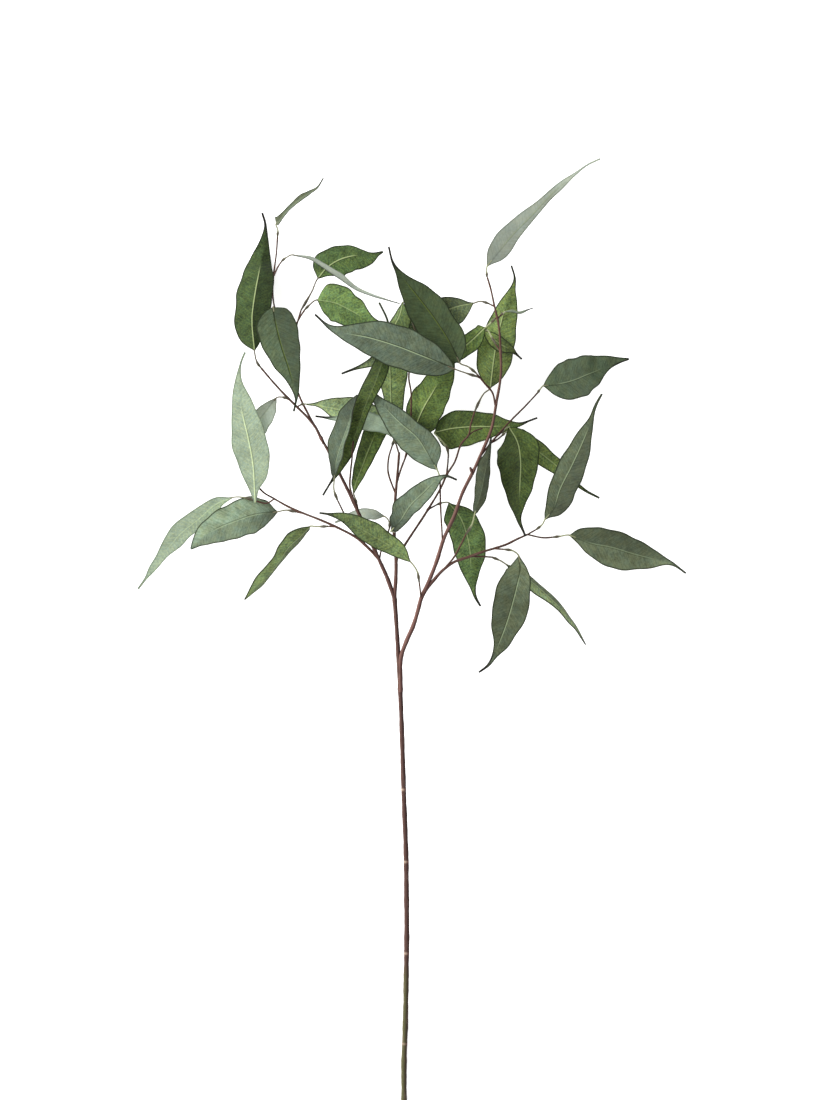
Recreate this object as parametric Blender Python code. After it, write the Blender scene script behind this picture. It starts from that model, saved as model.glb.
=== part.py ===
"""Eucalyptus branch, about one metre long, lying on a table.

A slender woody stem forks into a left, a middle and a right branch, and 41
lance-shaped leaves hang from their twigs on thin stalks. Places are measured in
millimetres from the foot of the picture: x to the right, y up along the stem
and z up from the table. ORIGIN moves them to the middle of the branch's box.
"""
import math

import bpy
import bmesh
import numpy as np

# Driving dimensions, in millimetres unless the name says otherwise
MM = 0.001
ORIGIN = np.array([7.91, 445.545, 0.0])
STEM_LENGTH_HIDDEN = 50.0
BLADE_THICKNESS = 0.75
PETIOLE_RADIUS = 0.75
NODE_RADIUS = 1.45
SOCKET_RADIUS = 0.95
TWIG_RADIUS = 0.85
SEAT_GAP = 0.5
FOLD_DEGREES = 12.0
WAVE_SHARE = 0.03
WAVES_PER_BLADE = 2.2
WAVE_SHIFT = 0.27
WAVE_OFFSET = 0.33
TIP_HALF_WIDTH = 0.45
STALK_STATIONS = (0.0, 0.22, 0.5, 0.8)
OUTLINE_PLACES = (0.03, 0.08, 0.16, 0.28, 0.42, 0.56, 0.7, 0.82, 0.91)
BLADE_STATIONS = (0.0, *OUTLINE_PLACES, 1.0)

# Rings: a knot's as shares of its half length and radius, a stalk's points in degrees
KNOT_RINGS = ((-1.0, 0.7), (-0.5, 1.0), (0.5, 1.0), (1.0, 0.7))
STALK_ANGLES = (150, 90, 30, -30, -90, -150)

# Tubes thicker than this radius are rounder
THICK_TUBE = 1.5
ROUND_TUBE = 2
PLAIN_TUBE = 1

# Colours of the pieces
GREY_GREEN = (0.20, 0.26, 0.20, 1.0)
DARK_GREEN = (0.09, 0.15, 0.06, 1.0)
BRIGHT_GREEN = (0.16, 0.26, 0.08, 1.0)
PALE_GREEN = (0.38, 0.46, 0.34, 1.0)
BARK = (0.16, 0.09, 0.075, 1.0)

# Each branch: its centreline points (x, y, z) and its radius at the two ends.
# The first point lies inside the branch that it grows from.
BRANCHES = {
    "stem": ((2.5, 1.7), [
        (0, -STEM_LENGTH_HIDDEN, 2.5), (0, 0, 2.5), (0, 36, 3), (1.4, 76, 6), (2.1, 116, 11),
        (2.8, 170, 18), (2.5, 210, 24), (2.2, 238, 28.5), (-0.3, 310, 40), (-1.6, 353, 47),
        (-3.3, 400, 53), (-5.1, 433, 58), (-6, 451, 60), (-8.6, 491, 65.5), (-9.5, 503, 67)]),
    "right": ((1.9, 0.95), [
        (-3.3, 408, 54.4), (-2.4, 445, 61), (3, 460, 65), (9.2, 474, 68), (14.6, 492, 71),
        (17.3, 502, 73), (21.7, 511.4, 75), (26.2, 522, 77), (32.4, 538, 79), (39.7, 561, 82),
        (50.2, 584, 85), (58.6, 607.4, 88), (69.1, 628.4, 90), (77.5, 647, 92), (87, 670, 93),
        (92.3, 697.4, 94), (96.9, 727, 94), (96.5, 748, 93), (94.4, 775.3, 92),
        (90.2, 794.3, 90), (86, 813.2, 88), (82.9, 823.2, 87.4)]),
    "left": ((1.7, 1.0), [
        (-9, 500, 66.6), (-16.9, 522.5, 69), (-24.9, 540.4, 71), (-34.7, 562, 73),
        (-44.5, 585, 75), (-54.4, 606.4, 76), (-65.1, 628, 77), (-75.8, 649.3, 78),
        (-83, 662, 79), (-88.3, 672.5, 79), (-95.4, 681.4, 79), (-108, 694, 78),
        (-118.6, 704.6, 77), (-131, 718, 76), (-143.2, 732.4, 75)]),
    "middle": ((1.6, 1.1), [
        (-9.5, 499, 66.5), (-7.9, 535, 69), (-9.7, 563.6, 71), (-8.8, 599.3, 73),
        (-7, 621, 74), (-5.2, 642, 75), (-4.8, 648, 75.5)]),
    "low_left": ((1.3, 0.9), [
        (-24.6, 540, 71), (-34.7, 551, 72), (-47.2, 562, 72), (-61.5, 570, 72),
        (-70.4, 574.3, 72), (-84.7, 580.5, 71), (-100.8, 586.8, 69), (-117, 594, 67),
        (-131, 602, 67), (-139, 606.5, 72), (-145.1, 612.2, 77.9)]),
    "low_right": ((1.4, 1.0), [
        (18.6, 505.4, 73.6), (29, 519, 76), (39.7, 530.6, 77), (50.2, 538, 78),
        (65, 543.2, 79), (79.6, 548.5, 79), (90.2, 551.6, 78), (102.8, 555.8, 77),
        (113.3, 561, 76), (124.5, 566, 75)]),
    "long_twig": ((1.2, 0.9), [
        (-8.4, 532, 69), (-6, 544, 71), (0.7, 554.8, 74), (23.9, 590.3, 80), (37.6, 613.7, 85),
        (42.8, 625.3, 86), (50.2, 637, 86), (58.6, 658, 86), (63.9, 663.8, 86.5),
        (67, 676.4, 87.5), (70.8, 688.6, 87)]),
    "left_twig": ((1.1, 0.9), [
        (-89, 673.5, 79), (-97.2, 688.6, 73), (-106, 708, 66), (-107.4, 745, 56),
        (-107.4, 777.7, 52)]),
    "far_left_twig": ((0.95, 0.85), [
        (-107.4, 750, 55.3), (-118, 768, 42), (-128, 787, 26), (-131.5, 806, 14),
        (-130.6, 828, 6)]),
    "middle_twig_left": ((0.95, 0.85), [
        (-8.5, 606, 73), (-16.1, 630.5, 74), (-15.1, 643.2, 73), (-11.5, 655, 72)]),
    "middle_twig_right": ((0.95, 0.85), [
        (-7.9, 614, 73.7), (-2.4, 632.7, 74), (1.8, 643.2, 74.3), (4.5, 650, 74.5)]),
    "inner_twig": ((0.9, 0.85), [
        (1, 641.4, 74.2), (6, 665, 82), (7.2, 692, 84), (7, 708, 84), (4.9, 721.4, 84),
        (8, 743, 85), (11.2, 755, 86), (11.4, 768, 87)]),
    "side_twig": ((1.0, 0.9), [
        (91.5, 693, 93.8), (87.8, 708, 97), (81.7, 715, 100), (75.5, 722.5, 102.5)]),
    "right_twig": ((1.0, 0.85), [
        (75.5, 642.8, 91.8), (86, 655.8, 89), (104.9, 677.4, 82), (121.7, 694.3, 72),
        (133.6, 707.2, 61)]),
    "rising_twig": ((1.0, 0.85), [
        (39, 530, 77), (50.2, 543.2, 81), (56.5, 554.8, 85), (62.4, 566.6, 88)]),
    "bare_twig": ((0.8, 0.6), [
        (60.5, 660, 86.2), (69, 668, 85), (78.7, 671.8, 82)]),
    "seated_twig": ((0.95, 0.9), [
        (-44, 584, 75), (-50, 600, 81.5), (-54, 613, 87), (-53.5, 626, 92), (-51.7, 644, 98),
        (-51.2, 652, 99.5), (-50.4, 659, 97.4)]),
}

# Rings and knots on the wood: place, radius and half length
KNOTS = [
    ((0, 55, 4.3), 2.9, 1.4), ((2.4, 146, 15), 2.8, 1.8), ((2.2, 238, 28.5), 2.5, 2.2),
    ((-0.2, 310.5, 40), 2.7, 1.6), ((-1.0, 338, 44.6), 2.4, 2.2), ((-1.6, 353, 47), 2.5, 2.6),
    ((-3.3, 411, 54.6), 3.0, 2.0), ((-9, 500, 66.7), 2.6, 3.0), ((-82.6, 661.4, 79), 1.9, 2.2),
    ((67.2, 629.2, 90), 1.9, 2.2), ((19.5, 507, 74), 2.2, 2.4), ((96.6, 748, 93), 1.6, 1.6),
    ((23.9, 590.3, 80), 1.5, 1.5), ((42.8, 625.3, 86), 1.4, 1.4),
]

# Each leaf: which side shows, its colour, its roll in degrees at the stalk and at
# the tip, the twig it stands on (from inside the branch to its socket), its stalk
# and its midrib
LEAVES = [
    ("leaf_01", "under", BRIGHT_GREEN, (4, 0),
     [(-143.2, 732.4, 75)], [(-146.3, 736.5, 75)],
     [(-149.5, 749.6, 74), (-152, 780, 57), (-149, 807, 38), (-145, 829, 20), (-142, 845, 3),
      (-140.4, 853, 0), (-139, 866, 0), (-138.8, 876, 0), (-142.2, 888, 0.6)]),
    ("leaf_02", "upper", GREY_GREEN, (60, 64),
     [(-130.7, 826, 6.5), (-127.6, 850, 17), (-126.7, 864.3, 26)], [(-126.4, 871, 28)],
     [(-128, 876.4, 30), (-123, 883, 33), (-114, 893, 36), (-105, 901, 38),
      (-95, 907, 39.5), (-87, 912.5, 40), (-80.6, 922.3, 40)]),
    ("leaf_03", "upper", PALE_GREEN, (70, 74),
     [(-130.9, 824, 7.4), (-126, 834, 23), (-122.2, 839.3, 38)], [(-117, 843, 53)],
     [(-110.6, 845, 62), (-93, 840.4, 68), (-79, 831.6, 70), (-63, 821, 70),
      (-50, 811.4, 68), (-33, 804.6, 66), (-18.6, 800.4, 64), (-4.4, 796.4, 62)]),
    ("leaf_04", "under", BRIGHT_GREEN, (6, 10),
     [(-107.4, 775, 52.3), (-103, 790, 51)], [(-92, 809, 50)],
     [(-86.1, 821.8, 48), (-77.6, 832, 46), (-63.3, 841, 42), (-49, 844.6, 38),
      (-34.7, 844.6, 34), (-21, 848.6, 30)]),
    ("leaf_05", "under", BRIGHT_GREEN, (-6, 0),
     [(-107.2, 777, 52.2), (-104, 783, 56), (-99, 790.5, 61)], [(-94.5, 795, 64)],
     [(-86.5, 800, 66), (-69.6, 797.2, 68), (-52.3, 789, 70), (-36, 779.6, 72),
      (-17, 773, 73)]),
    ("leaf_06", "upper", GREY_GREEN, (4, 0),
     [(-107.4, 746, 55.8), (-113, 760, 62), (-119, 771, 67)], [(-126, 783, 69), (-130.6, 791, 72)],
     [(-130.8, 792.6, 77), (-127.6, 775, 86), (-122.2, 753.6, 91), (-115.1, 732, 93),
      (-109.7, 712.5, 92), (-107.9, 700, 90), (-110.1, 688.4, 88)]),
    ("leaf_07", "under", PALE_GREEN, (4, 8),
     None, None,
     [(-148.6, 597, 76), (-149.4, 612, 80), (-150.8, 635, 85), (-155.2, 660, 89),
      (-160.6, 683, 91), (-164.7, 706.4, 91), (-165.1, 724.3, 89), (-162.4, 738.6, 86),
      (-158.8, 747.5, 83)]),
    ("leaf_08", "upper", GREY_GREEN, (6, 6),
     [(-107.8, 693.8, 78), (-113, 699, 80.5), (-117, 701.2, 80.5)], [(-122, 702.8, 78.5)],
     [(-128, 701.6, 75.5), (-136, 690.5, 72), (-144.5, 679, 70), (-154, 661, 68),
      (-161, 642, 66)]),
    ("leaf_09", "upper", GREY_GREEN, (0, 4),
     [(76.5, 721.4, 102), (73, 723.2, 104)], [(63.3, 726.1, 109)],
     [(50.2, 730.7, 113), (19.6, 743, 117), (-8, 753.7, 118), (-35.5, 762, 117),
      (-61.6, 767.4, 113), (-73.8, 772, 109), (-88.8, 785.1, 103)]),
    ("leaf_10", "under", PALE_GREEN, (12, 18),
     [(-129.5, 601.2, 67), (-136.5, 597, 66), (-150.8, 600, 65)], [(-159.7, 602.5, 63)],
     [(-172.2, 602.3, 60), (-187.7, 595.9, 52), (-205, 581.4, 43), (-224.6, 565.4, 33),
      (-239, 548, 23), (-250, 532.4, 14), (-266.5, 511, 5)]),
    ("leaf_11", "upper", GREY_GREEN, (-4, 0),
     [(-100.4, 586.6, 69), (-108, 588.2, 66)], [(-118.6, 589.8, 62)],
     [(-126.7, 588.2, 59), (-150.8, 584.7, 57), (-167, 579.4, 60), (-184.7, 572.3, 63),
      (-201.6, 562.5, 62), (-213, 551.1, 58)]),
    ("leaf_12", "under", BRIGHT_GREEN, (46, 54),
     [(-68, 573.2, 72), (-76, 573.6, 70)], [(-88.3, 573.4, 66)],
     [(-94.5, 573.4, 63), (-103.6, 564.2, 58), (-115.6, 552.9, 50), (-126.4, 537.2, 40),
      (-139.2, 521.4, 28), (-152.2, 507.7, 17), (-159.7, 500.2, 12)]),
    ("leaf_13", "under", BRIGHT_GREEN, (8, 8),
     [(17, 501, 72.8), (16.6, 506, 77), (15.2, 518, 83)], [(13, 529, 87)],
     [(6, 538.6, 90), (-6, 549.3, 92), (-24, 560, 93), (-42, 570.7, 93),
      (-59.7, 581.4, 91.5), (-77.6, 586, 88), (-84.4, 587, 86)]),
    ("leaf_14", "upper", PALE_GREEN, (46, 40),
     [(-24.6, 539.6, 71), (-22.5, 551, 70), (-17, 564, 69), (-14.6, 572, 68)],
     [(-14.8, 578, 67.4)],
     [(-19.7, 583.6, 66), (-34, 587, 64), (-48, 586.4, 60), (-69, 577.5, 54)]),
    ("leaf_15", "upper", GREY_GREEN, (48, 50),
     [(-45, 560.6, 72), (-52.6, 571, 76), (-60.2, 587, 84), (-66.5, 600, 92)],
     [(-70, 611, 99)],
     [(-69.5, 620.7, 104), (-67.5, 638, 109), (-61, 660, 113), (-55, 676, 115),
      (-50.5, 692, 115), (-46.6, 705, 114)]),
    ("leaf_16", "under", DARK_GREEN, (4, 4),
     None, None,
     [(-17, 748, 106), (-22, 736, 107), (-28.7, 717, 107), (-39, 693, 104), (-47, 670, 99),
      (-53.5, 654, 94), (-64, 634, 89), (-73, 618, 85), (-81, 604.6, 83)]),
    ("leaf_17", "under", BRIGHT_GREEN, (0, 0),
     [(-107, 693, 78), (-102.6, 695.4, 77)], [(-99.6, 696, 76.6)],
     [(-97, 695.6, 76.4), (-84, 694, 76), (-71, 691.2, 76), (-44, 686, 76), (-22, 679, 76),
      (-4, 670, 77)]),
    ("leaf_18", "upper", GREY_GREEN, (0, -4),
     [(38.6, 557.6, 81.5), (37.6, 574, 87), (36.5, 595, 93), (36, 620, 97)],
     [(34.6, 626.6, 98)],
     [(32.9, 630.5, 98.6), (24, 645, 99.5), (13, 662, 100), (-3, 676, 100), (-18, 691, 98),
      (-29, 703, 96), (-39, 715, 95)]),
    ("leaf_19", "upper", PALE_GREEN, (-4, 0),
     [(-4.9, 646, 75.4), (-8, 656, 78)], [(-9, 662, 81)],
     [(-8, 665, 82), (-28, 677, 87), (-48, 681.5, 87), (-65, 681.4, 86),
      (-88.6, 683.6, 86)]),
    ("leaf_20", "under", DARK_GREEN, (0, 0),
     [(-45, 586, 75), (-47.3, 597, 78.5)], [(-49.2, 603, 79)],
     [(-50.3, 607, 79), (-47, 620, 77), (-43.5, 629, 75), (-38.5, 642, 72), (-33, 656, 69),
      (-28, 668, 66), (-16, 700, 60)]),
    ("leaf_21", "under", BRIGHT_GREEN, (0, 0),
     [(-11.5, 655, 72)], [(-10.4, 660, 71)],
     [(-10, 664, 70), (-12.5, 690, 66), (-13.5, 712, 65), (-14, 731, 64),
      (-15, 758, 62), (-16.3, 778.7, 60), (-24.8, 797.5, 58)]),
    ("leaf_22", "under", BRIGHT_GREEN, (0, 0),
     [(4.5, 650, 74.5)], [(5.5, 656, 75)],
     [(7, 663, 76), (20, 693, 77), (30, 710, 78), (40, 727, 79), (49, 744, 80)]),
    ("leaf_23", "under", DARK_GREEN, (0, 0),
     [(42.6, 624.6, 85.6), (43.9, 638, 79), (44.4, 645, 75)], [(43, 652, 71.5), (36, 661, 68)],
     [(30.8, 667.8, 66), (48, 671.5, 66), (71.2, 673.4, 65), (92.3, 673.5, 64),
      (113.3, 675.4, 65), (133.3, 682.1, 70)]),
    ("leaf_24", "upper", DARK_GREEN, (0, -6),
     [(77.8, 719.6, 101.4), (72, 726.6, 101.6)], [(64, 733, 103)],
     [(55.5, 737, 104), (43.5, 760.5, 100), (29.5, 782, 98), (12.5, 804.2, 97),
      (-2.5, 823.5, 97), (-11.7, 839, 98), (-15.3, 853, 99)]),
    ("leaf_25", "under", DARK_GREEN, (0, 0),
     [(90.5, 793, 90), (85, 796, 88.6)], [(76, 798.4, 86)],
     [(69, 796.4, 84), (52, 793, 82), (30, 783, 80), (5, 764, 79), (-27, 741, 82),
      (-62.3, 726.1, 86)]),
    ("leaf_26", "under", BRIGHT_GREEN, (0, 0),
     [(11.4, 768, 87)], [(9, 778, 88), (4, 790, 88), (0, 797.5, 89)],
     [(-1.4, 797, 91), (-5, 783, 92), (-12, 771, 93), (-22, 758, 94), (-31, 748, 95)]),
    ("leaf_28", "under", BRIGHT_GREEN, (0, 4),
     [(70.8, 688.6, 87)], [(75, 698, 84.5), (80, 706.5, 81)],
     [(86.3, 712.3, 78), (89, 735, 74), (93, 760, 70), (99, 785, 65), (106, 808, 60),
      (110.5, 822, 56), (107.4, 834.5, 52)]),
    ("leaf_29", "under", BRIGHT_GREEN, (0, 0),
     [(94, 783.5, 91.5), (90.5, 780.5, 90.5)], [(86, 776.3, 88.6)],
     [(81, 772, 87), (66, 758, 88), (50, 746, 90), (30, 738, 92), (12, 733, 92)]),
    ("leaf_30", "under", DARK_GREEN, (10, 20),
     [(96.6, 748, 93), (91.6, 755.6, 90)], [(87.6, 762.5, 87), (83, 769.5, 83)],
     [(80.4, 768, 80), (89, 761, 79), (98, 754.5, 79), (107, 750, 79), (117.7, 740.7, 79)]),
    ("leaf_31", "under", PALE_GREEN, (66, 66),
     [(93.4, 781, 91.6), (97.6, 785.4, 89)], [(99.5, 787, 87.6)],
     [(101, 787.8, 86), (108, 789.2, 84), (115, 787.6, 82), (122, 789.5, 81),
      (129.2, 792, 81)]),
    ("leaf_32", "upper", PALE_GREEN, (8, 28),
     [(82.9, 823.2, 87.4)], [(82.6, 829, 88)],
     [(83.2, 833.8, 89), (93.3, 846.4, 93), (110.2, 866.6, 99), (127.4, 884, 104),
      (142, 899.8, 107), (156.8, 914.2, 109), (170.8, 925.2, 109), (182.8, 934.2, 107),
      (195.8, 940.5, 104)]),
    ("leaf_33", "upper", GREY_GREEN, (0, 0),
     [(133.6, 707.2, 61)], [(136.6, 711.4, 59)],
     [(139.6, 714.3, 57), (149, 715.3, 51), (168, 719.5, 33), (183, 725.6, 12),
      (194, 730, -2.6), (204, 734.3, -2.6), (213, 737.4, -1.5), (225.5, 741.6, -0.6)]),
    ("leaf_34", "upper", GREY_GREEN, (6, 12),
     [(123.6, 565.6, 75), (132.3, 570.6, 73.5)], [(138.6, 576, 71.5)],
     [(141.1, 580.7, 70), (149, 590.6, 70), (155.4, 609.5, 72), (168, 635, 74),
      (178.6, 658, 74), (187, 679, 72), (192, 696, 69), (197.9, 706, 66)]),
    ("leaf_35", "upper", GREY_GREEN, (-4, -8),
     [(123.4, 565.4, 75), (140.7, 562.2, 72.5), (149, 562.8, 71)], [(155.4, 563.6, 69)],
     [(165.9, 564.7, 66), (187, 557, 59), (208, 552.7, 49), (229, 546.4, 38), (250, 541, 27),
      (267, 537, 18), (282.3, 526.8, 10)]),
    ("leaf_36", "upper", GREY_GREEN, (0, 4),
     [(89, 551.4, 78.2), (100.7, 550.6, 79)], [(110.2, 548.5, 78)],
     [(114.8, 543.8, 76), (116.5, 531.6, 74), (113.3, 515, 70), (109, 498, 64),
      (102.8, 477, 56), (96.5, 460, 48), (90.2, 445.3, 40), (83.9, 435, 33), (75, 427.5, 26)]),
    ("leaf_37", "under", DARK_GREEN, (46, 52),
     [(66, 543.6, 79), (79.6, 543.4, 75.4), (88, 542.8, 73)], [(98, 538.4, 68)],
     [(103, 535, 66), (129.4, 516, 59), (144, 503, 52), (154.6, 492.8, 44), (165.6, 480.4, 35),
      (174.4, 468.5, 25), (182, 455.2, 15)]),
    ("leaf_38", "under", BRIGHT_GREEN, (0, 0),
     [(23.9, 590.3, 80), (33, 595.4, 76)], [(39.5, 597.4, 72)],
     [(44.9, 597, 69), (56.5, 582, 66), (62.8, 565.3, 64), (66, 548.5, 62), (67, 531.6, 58),
      (69, 515, 53), (72.3, 502.2, 48), (76.5, 493.8, 43)]),
    ("leaf_39", "upper", GREY_GREEN, (44, 44),
     [(62.4, 566.6, 88)], [(68, 576, 91)],
     [(70.6, 585.7, 94), (76.6, 606, 98), (80.8, 626.3, 101), (84.6, 646, 103), (87, 662, 103)]),
    ("leaf_40", "under", DARK_GREEN, (0, 0),
     [(92.4, 663.2, 86.6), (97.6, 667.6, 83)], [(102, 671.6, 80.6)],
     [(105.2, 672.6, 79), (113.3, 658, 79), (116.5, 637, 80), (115.8, 616, 81),
      (115.4, 595, 82), (116.5, 578, 83), (121.3, 563.8, 84)]),
    ("leaf_41", "under", BRIGHT_GREEN, (0, 0),
     [(87, 657, 88.7), (94, 661, 83), (98, 664.4, 77.4)], [(102.4, 668, 73.6)],
     [(106.4, 669.6, 72.5), (134.4, 648.4, 64), (149, 637, 60), (181, 610, 54),
      (195.4, 602.1, 52)]),
    ("leaf_42", "upper", GREY_GREEN, (4, 0),
     [(-9.5, 567, 71), (-9.8, 568.4, 77)], [(-10.4, 569, 86)],
     [(-12.6, 569.4, 96), (-4, 579, 99), (5.2, 593.4, 101), (19.8, 608, 103),
      (33.6, 620.6, 104), (42, 623.9, 104.5), (52.9, 620, 104)]),
]

# Half widths of each blade in millimetres, left and right of its rib, at OUTLINE_PLACES
OUTLINES = {
    "leaf_01": ((6, 12.3, 17.2, 17.6, 19, 16.6, 12.3, 5.5, 1.8),
                (4.3, 8.4, 12.9, 16.8, 17.4, 15.5, 9.7, 4.2, 1.2)),
    "leaf_02": ((6.5, 7, 7, 6.8, 6.5, 6.2, 5, 3, 1.4),
                (6.5, 7, 7, 6.8, 6.5, 6.2, 5, 3, 1.4)),
    "leaf_03": ((2, 4, 6.5, 8.4, 9, 7.9, 5.5, 3, 1.4),
                (2, 3.5, 4.5, 5.5, 6, 5.5, 4, 2.5, 1.4)),
    "leaf_04": ((4.7, 10.8, 15.7, 16.2, 14.6, 12.4, 7.4, 3.7, 1.9),
                (2.5, 5.1, 9.5, 15, 16.1, 14.8, 12.9, 8.5, 3.4)),
    "leaf_05": ((8, 15.2, 18, 19, 15.7, 13.3, 7.9, 4.5, 2.7),
                (4.4, 10.6, 16, 18.6, 17.3, 15.3, 9.5, 3.9, 2)),
    "leaf_06": ((10.1, 14.9, 19.1, 19.9, 18, 13.5, 8.2, 4, 1.2),
                (7.1, 13.5, 19, 20.5, 17.4, 13.4, 6.5, 2.5, 0.9)),
    "leaf_07": ((2.5, 5.2, 10.6, 16.1, 17.8, 12.6, 7.8, 3.2, 1),
                (2.2, 3.9, 12.3, 17, 17.5, 15.3, 10, 3.1, 1)),
    "leaf_08": ((2.5, 4.3, 7.8, 10.3, 11.2, 11, 6.6, 2.7, 0.9),
                (2, 4.2, 6.8, 9.1, 10.5, 10, 6.6, 2.7, 0.9)),
    "leaf_09": ((6.5, 12.3, 17, 19.9, 20.9, 17.7, 10.9, 4, 1.3),
                (5.3, 10.3, 15.6, 19.9, 20.9, 18.7, 11.1, 4.5, 1.7)),
    "leaf_10": ((1.7, 3.8, 7.7, 10, 9.5, 9.3, 4.5, 2.8, 1),
                (2.2, 5.2, 7.7, 10.1, 11.2, 9.7, 6, 4.7, 1.8)),
    "leaf_11": ((4.1, 8.1, 14.1, 17.8, 17.4, 16.5, 13.2, 9.5, 5),
                (4.4, 11.6, 15.6, 20, 18.4, 15.3, 9.4, 6, 4)),
    "leaf_12": ((4, 5, 7.3, 8.5, 6.2, 4.8, 5, 6, 4),
                (2.5, 6, 11, 10.7, 9.2, 9.4, 9.8, 8, 4.5)),
    "leaf_13": ((2.6, 5, 7.5, 9.5, 10.5, 9.5, 5.8, 3, 1.2),
                (2.4, 5.4, 9, 10.5, 12.9, 11.5, 8, 4, 1.6)),
    "leaf_14": ((1.6, 3.7, 7.2, 8, 8.5, 7.2, 4.5, 2.5, 1.5),
                (2.1, 4.2, 7.5, 8, 6.8, 5, 4, 3.5, 1.5)),
    "leaf_15": ((3.6, 6.1, 8.4, 13.1, 16.4, 16.9, 16.7, 12.8, 8),
                (1.7, 3.5, 6.2, 9, 6.5, 6.5, 3.1, 1, 0.6)),
    "leaf_16": ((6.9, 8.2, 8.5, 6.5, 5.6, 5, 5.9, 4, 1.2),
                (6.5, 7.9, 9.7, 11.1, 11.4, 10.8, 6.4, 2, 1.1)),
    "leaf_17": ((1.3, 2.7, 7, 11.4, 14.5, 14.5, 11.5, 6.5, 2.5),
                (0.6, 1, 3, 9.2, 11, 11.5, 9.5, 5.5, 2)),
    "leaf_18": ((4.4, 8.5, 13.5, 18.5, 18.7, 14.5, 9.9, 5.5, 3),
                (2.4, 9, 15.2, 14.5, 12, 12.2, 8.6, 4.5, 2.3)),
    "leaf_19": ((4, 4.5, 6.5, 9.2, 11, 9, 3.8, 2.2, 1.2),
                (2.1, 4.4, 6.8, 8.3, 8.7, 6.9, 3, 1.6, 0.8)),
    "leaf_20": ((1.7, 4.1, 5.9, 8.5, 10.2, 11.7, 11.5, 7.5, 3),
                (1.8, 3.3, 5.2, 6.8, 8.6, 9.7, 10.5, 7.5, 3)),
    "leaf_21": ((3.2, 5.4, 6.8, 7.4, 10.5, 10.5, 6, 1.5, 0.8),
                (4.5, 8, 11.3, 13.1, 16.8, 16.5, 7, 1.5, 0.8)),
    "leaf_22": ((5.3, 9.5, 12.5, 15.7, 17.7, 15.6, 13, 9, 4.5),
                (6.5, 13, 18.5, 19.9, 19.6, 17.6, 14.1, 10.4, 6.5)),
    "leaf_23": ((5.8, 12, 16, 17.2, 14.8, 13.1, 6.5, 1.8, 1),
                (12, 18.5, 20, 19.3, 16.3, 10.6, 5, 2.5, 1)),
    "leaf_24": ((7.5, 11.8, 18.1, 21.6, 21.1, 17, 9.4, 2.9, 1.2),
                (5.5, 12.2, 17.5, 17, 18.3, 15.5, 7.7, 2, 0.9)),
    "leaf_25": ((7, 14.5, 18.5, 18.5, 17, 14, 9, 4, 1.6),
                (2.5, 7.3, 13, 14, 14, 11.5, 7.5, 3, 1.3)),
    "leaf_26": ((2.5, 5.5, 10.2, 14, 14, 12, 8.5, 4.5, 2),
                (1.2, 2.4, 4.1, 5.3, 5.9, 5.8, 5.2, 3.5, 1.8)),
    "leaf_28": ((6.4, 11.3, 16.2, 17.6, 15, 11.6, 6.5, 1.6, 1),
                (5, 10.5, 15.7, 18.3, 18, 15.2, 11, 4, 1.2)),
    "leaf_29": ((2.8, 5.9, 9.3, 10.5, 9.3, 9.1, 8, 5, 2),
                (6.2, 7.1, 8, 9.7, 11.9, 11, 9, 3.3, 1.5)),
    "leaf_30": ((1.9, 3.7, 5.6, 7.1, 7.5, 6.4, 4, 1.6, 1),
                (1.9, 3.7, 5.6, 7.1, 7.5, 6.4, 4, 1.6, 1)),
    "leaf_31": ((1, 2, 3, 3.8, 4, 3.4, 2.2, 1.2, 0.8),
                (1, 2, 3, 3.8, 4, 3.4, 2.2, 1.2, 0.8)),
    "leaf_32": ((4.5, 9.4, 12, 11.4, 9, 5, 3.6, 1.6, 0.9),
                (3.1, 7.7, 10, 7.7, 5.5, 4.1, 4.2, 1.6, 1)),
    "leaf_33": ((6.1, 12.5, 18.6, 21.5, 20.9, 19.1, 16.2, 11, 5.5),
                (4.1, 10.1, 17.2, 18.5, 19.2, 15.7, 11, 3.5, 1.5)),
    "leaf_34": ((4.5, 7.7, 10.3, 11.4, 13, 10.9, 7.6, 2.5, 1.2),
                (2.7, 9, 15.1, 16.5, 15.3, 12.1, 6, 2, 1.8)),
    "leaf_35": ((7.3, 12.8, 16.7, 18.2, 17, 14.3, 10.3, 5.5, 3.5),
                (2.5, 5.2, 11.1, 17.9, 19.8, 15.5, 9.8, 3.5, 1.2)),
    "leaf_36": ((2.5, 6, 12, 15.1, 17.5, 13.4, 9.3, 3.5, 2),
                (5.5, 12.5, 16.5, 20, 18.3, 14.9, 5.8, 1.8, 1.1)),
    "leaf_37": ((2.4, 4.8, 7.6, 7.7, 7.6, 7.4, 5.4, 4, 1.8),
                (2.4, 4.8, 7.3, 9, 5.7, 3.8, 4.5, 2.5, 2)),
    "leaf_38": ((2.4, 7.1, 13.2, 16.7, 17.2, 14.1, 7.5, 2.3, 0.8),
                (6.4, 13.7, 16.4, 16.3, 16.3, 13.5, 7.7, 3.2, 2)),
    "leaf_39": ((3, 4.7, 5.5, 7.4, 9.6, 10.6, 8.3, 4, 2),
                (3.1, 5, 8.1, 10.4, 10.6, 8.5, 4.4, 3, 2)),
    "leaf_40": ((5.3, 10.6, 18.7, 19.3, 15.9, 13, 6.6, 1.6, 1),
                (5.3, 12, 20.5, 23.3, 21.5, 16.3, 10.7, 4.8, 2)),
    "leaf_41": ((3.8, 8.3, 8.6, 9.8, 8.2, 7, 2.9, 1.7, 0.8),
                (3.8, 7.4, 11, 13, 10, 7.8, 2.9, 1.8, 1.5)),
    "leaf_42": ((3, 8.9, 11.3, 14.6, 11.9, 10.8, 6.7, 2.5, 1),
                (4.5, 5.7, 6.6, 8.4, 10.2, 9, 7.1, 2.5, 1.4)),
}


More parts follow.
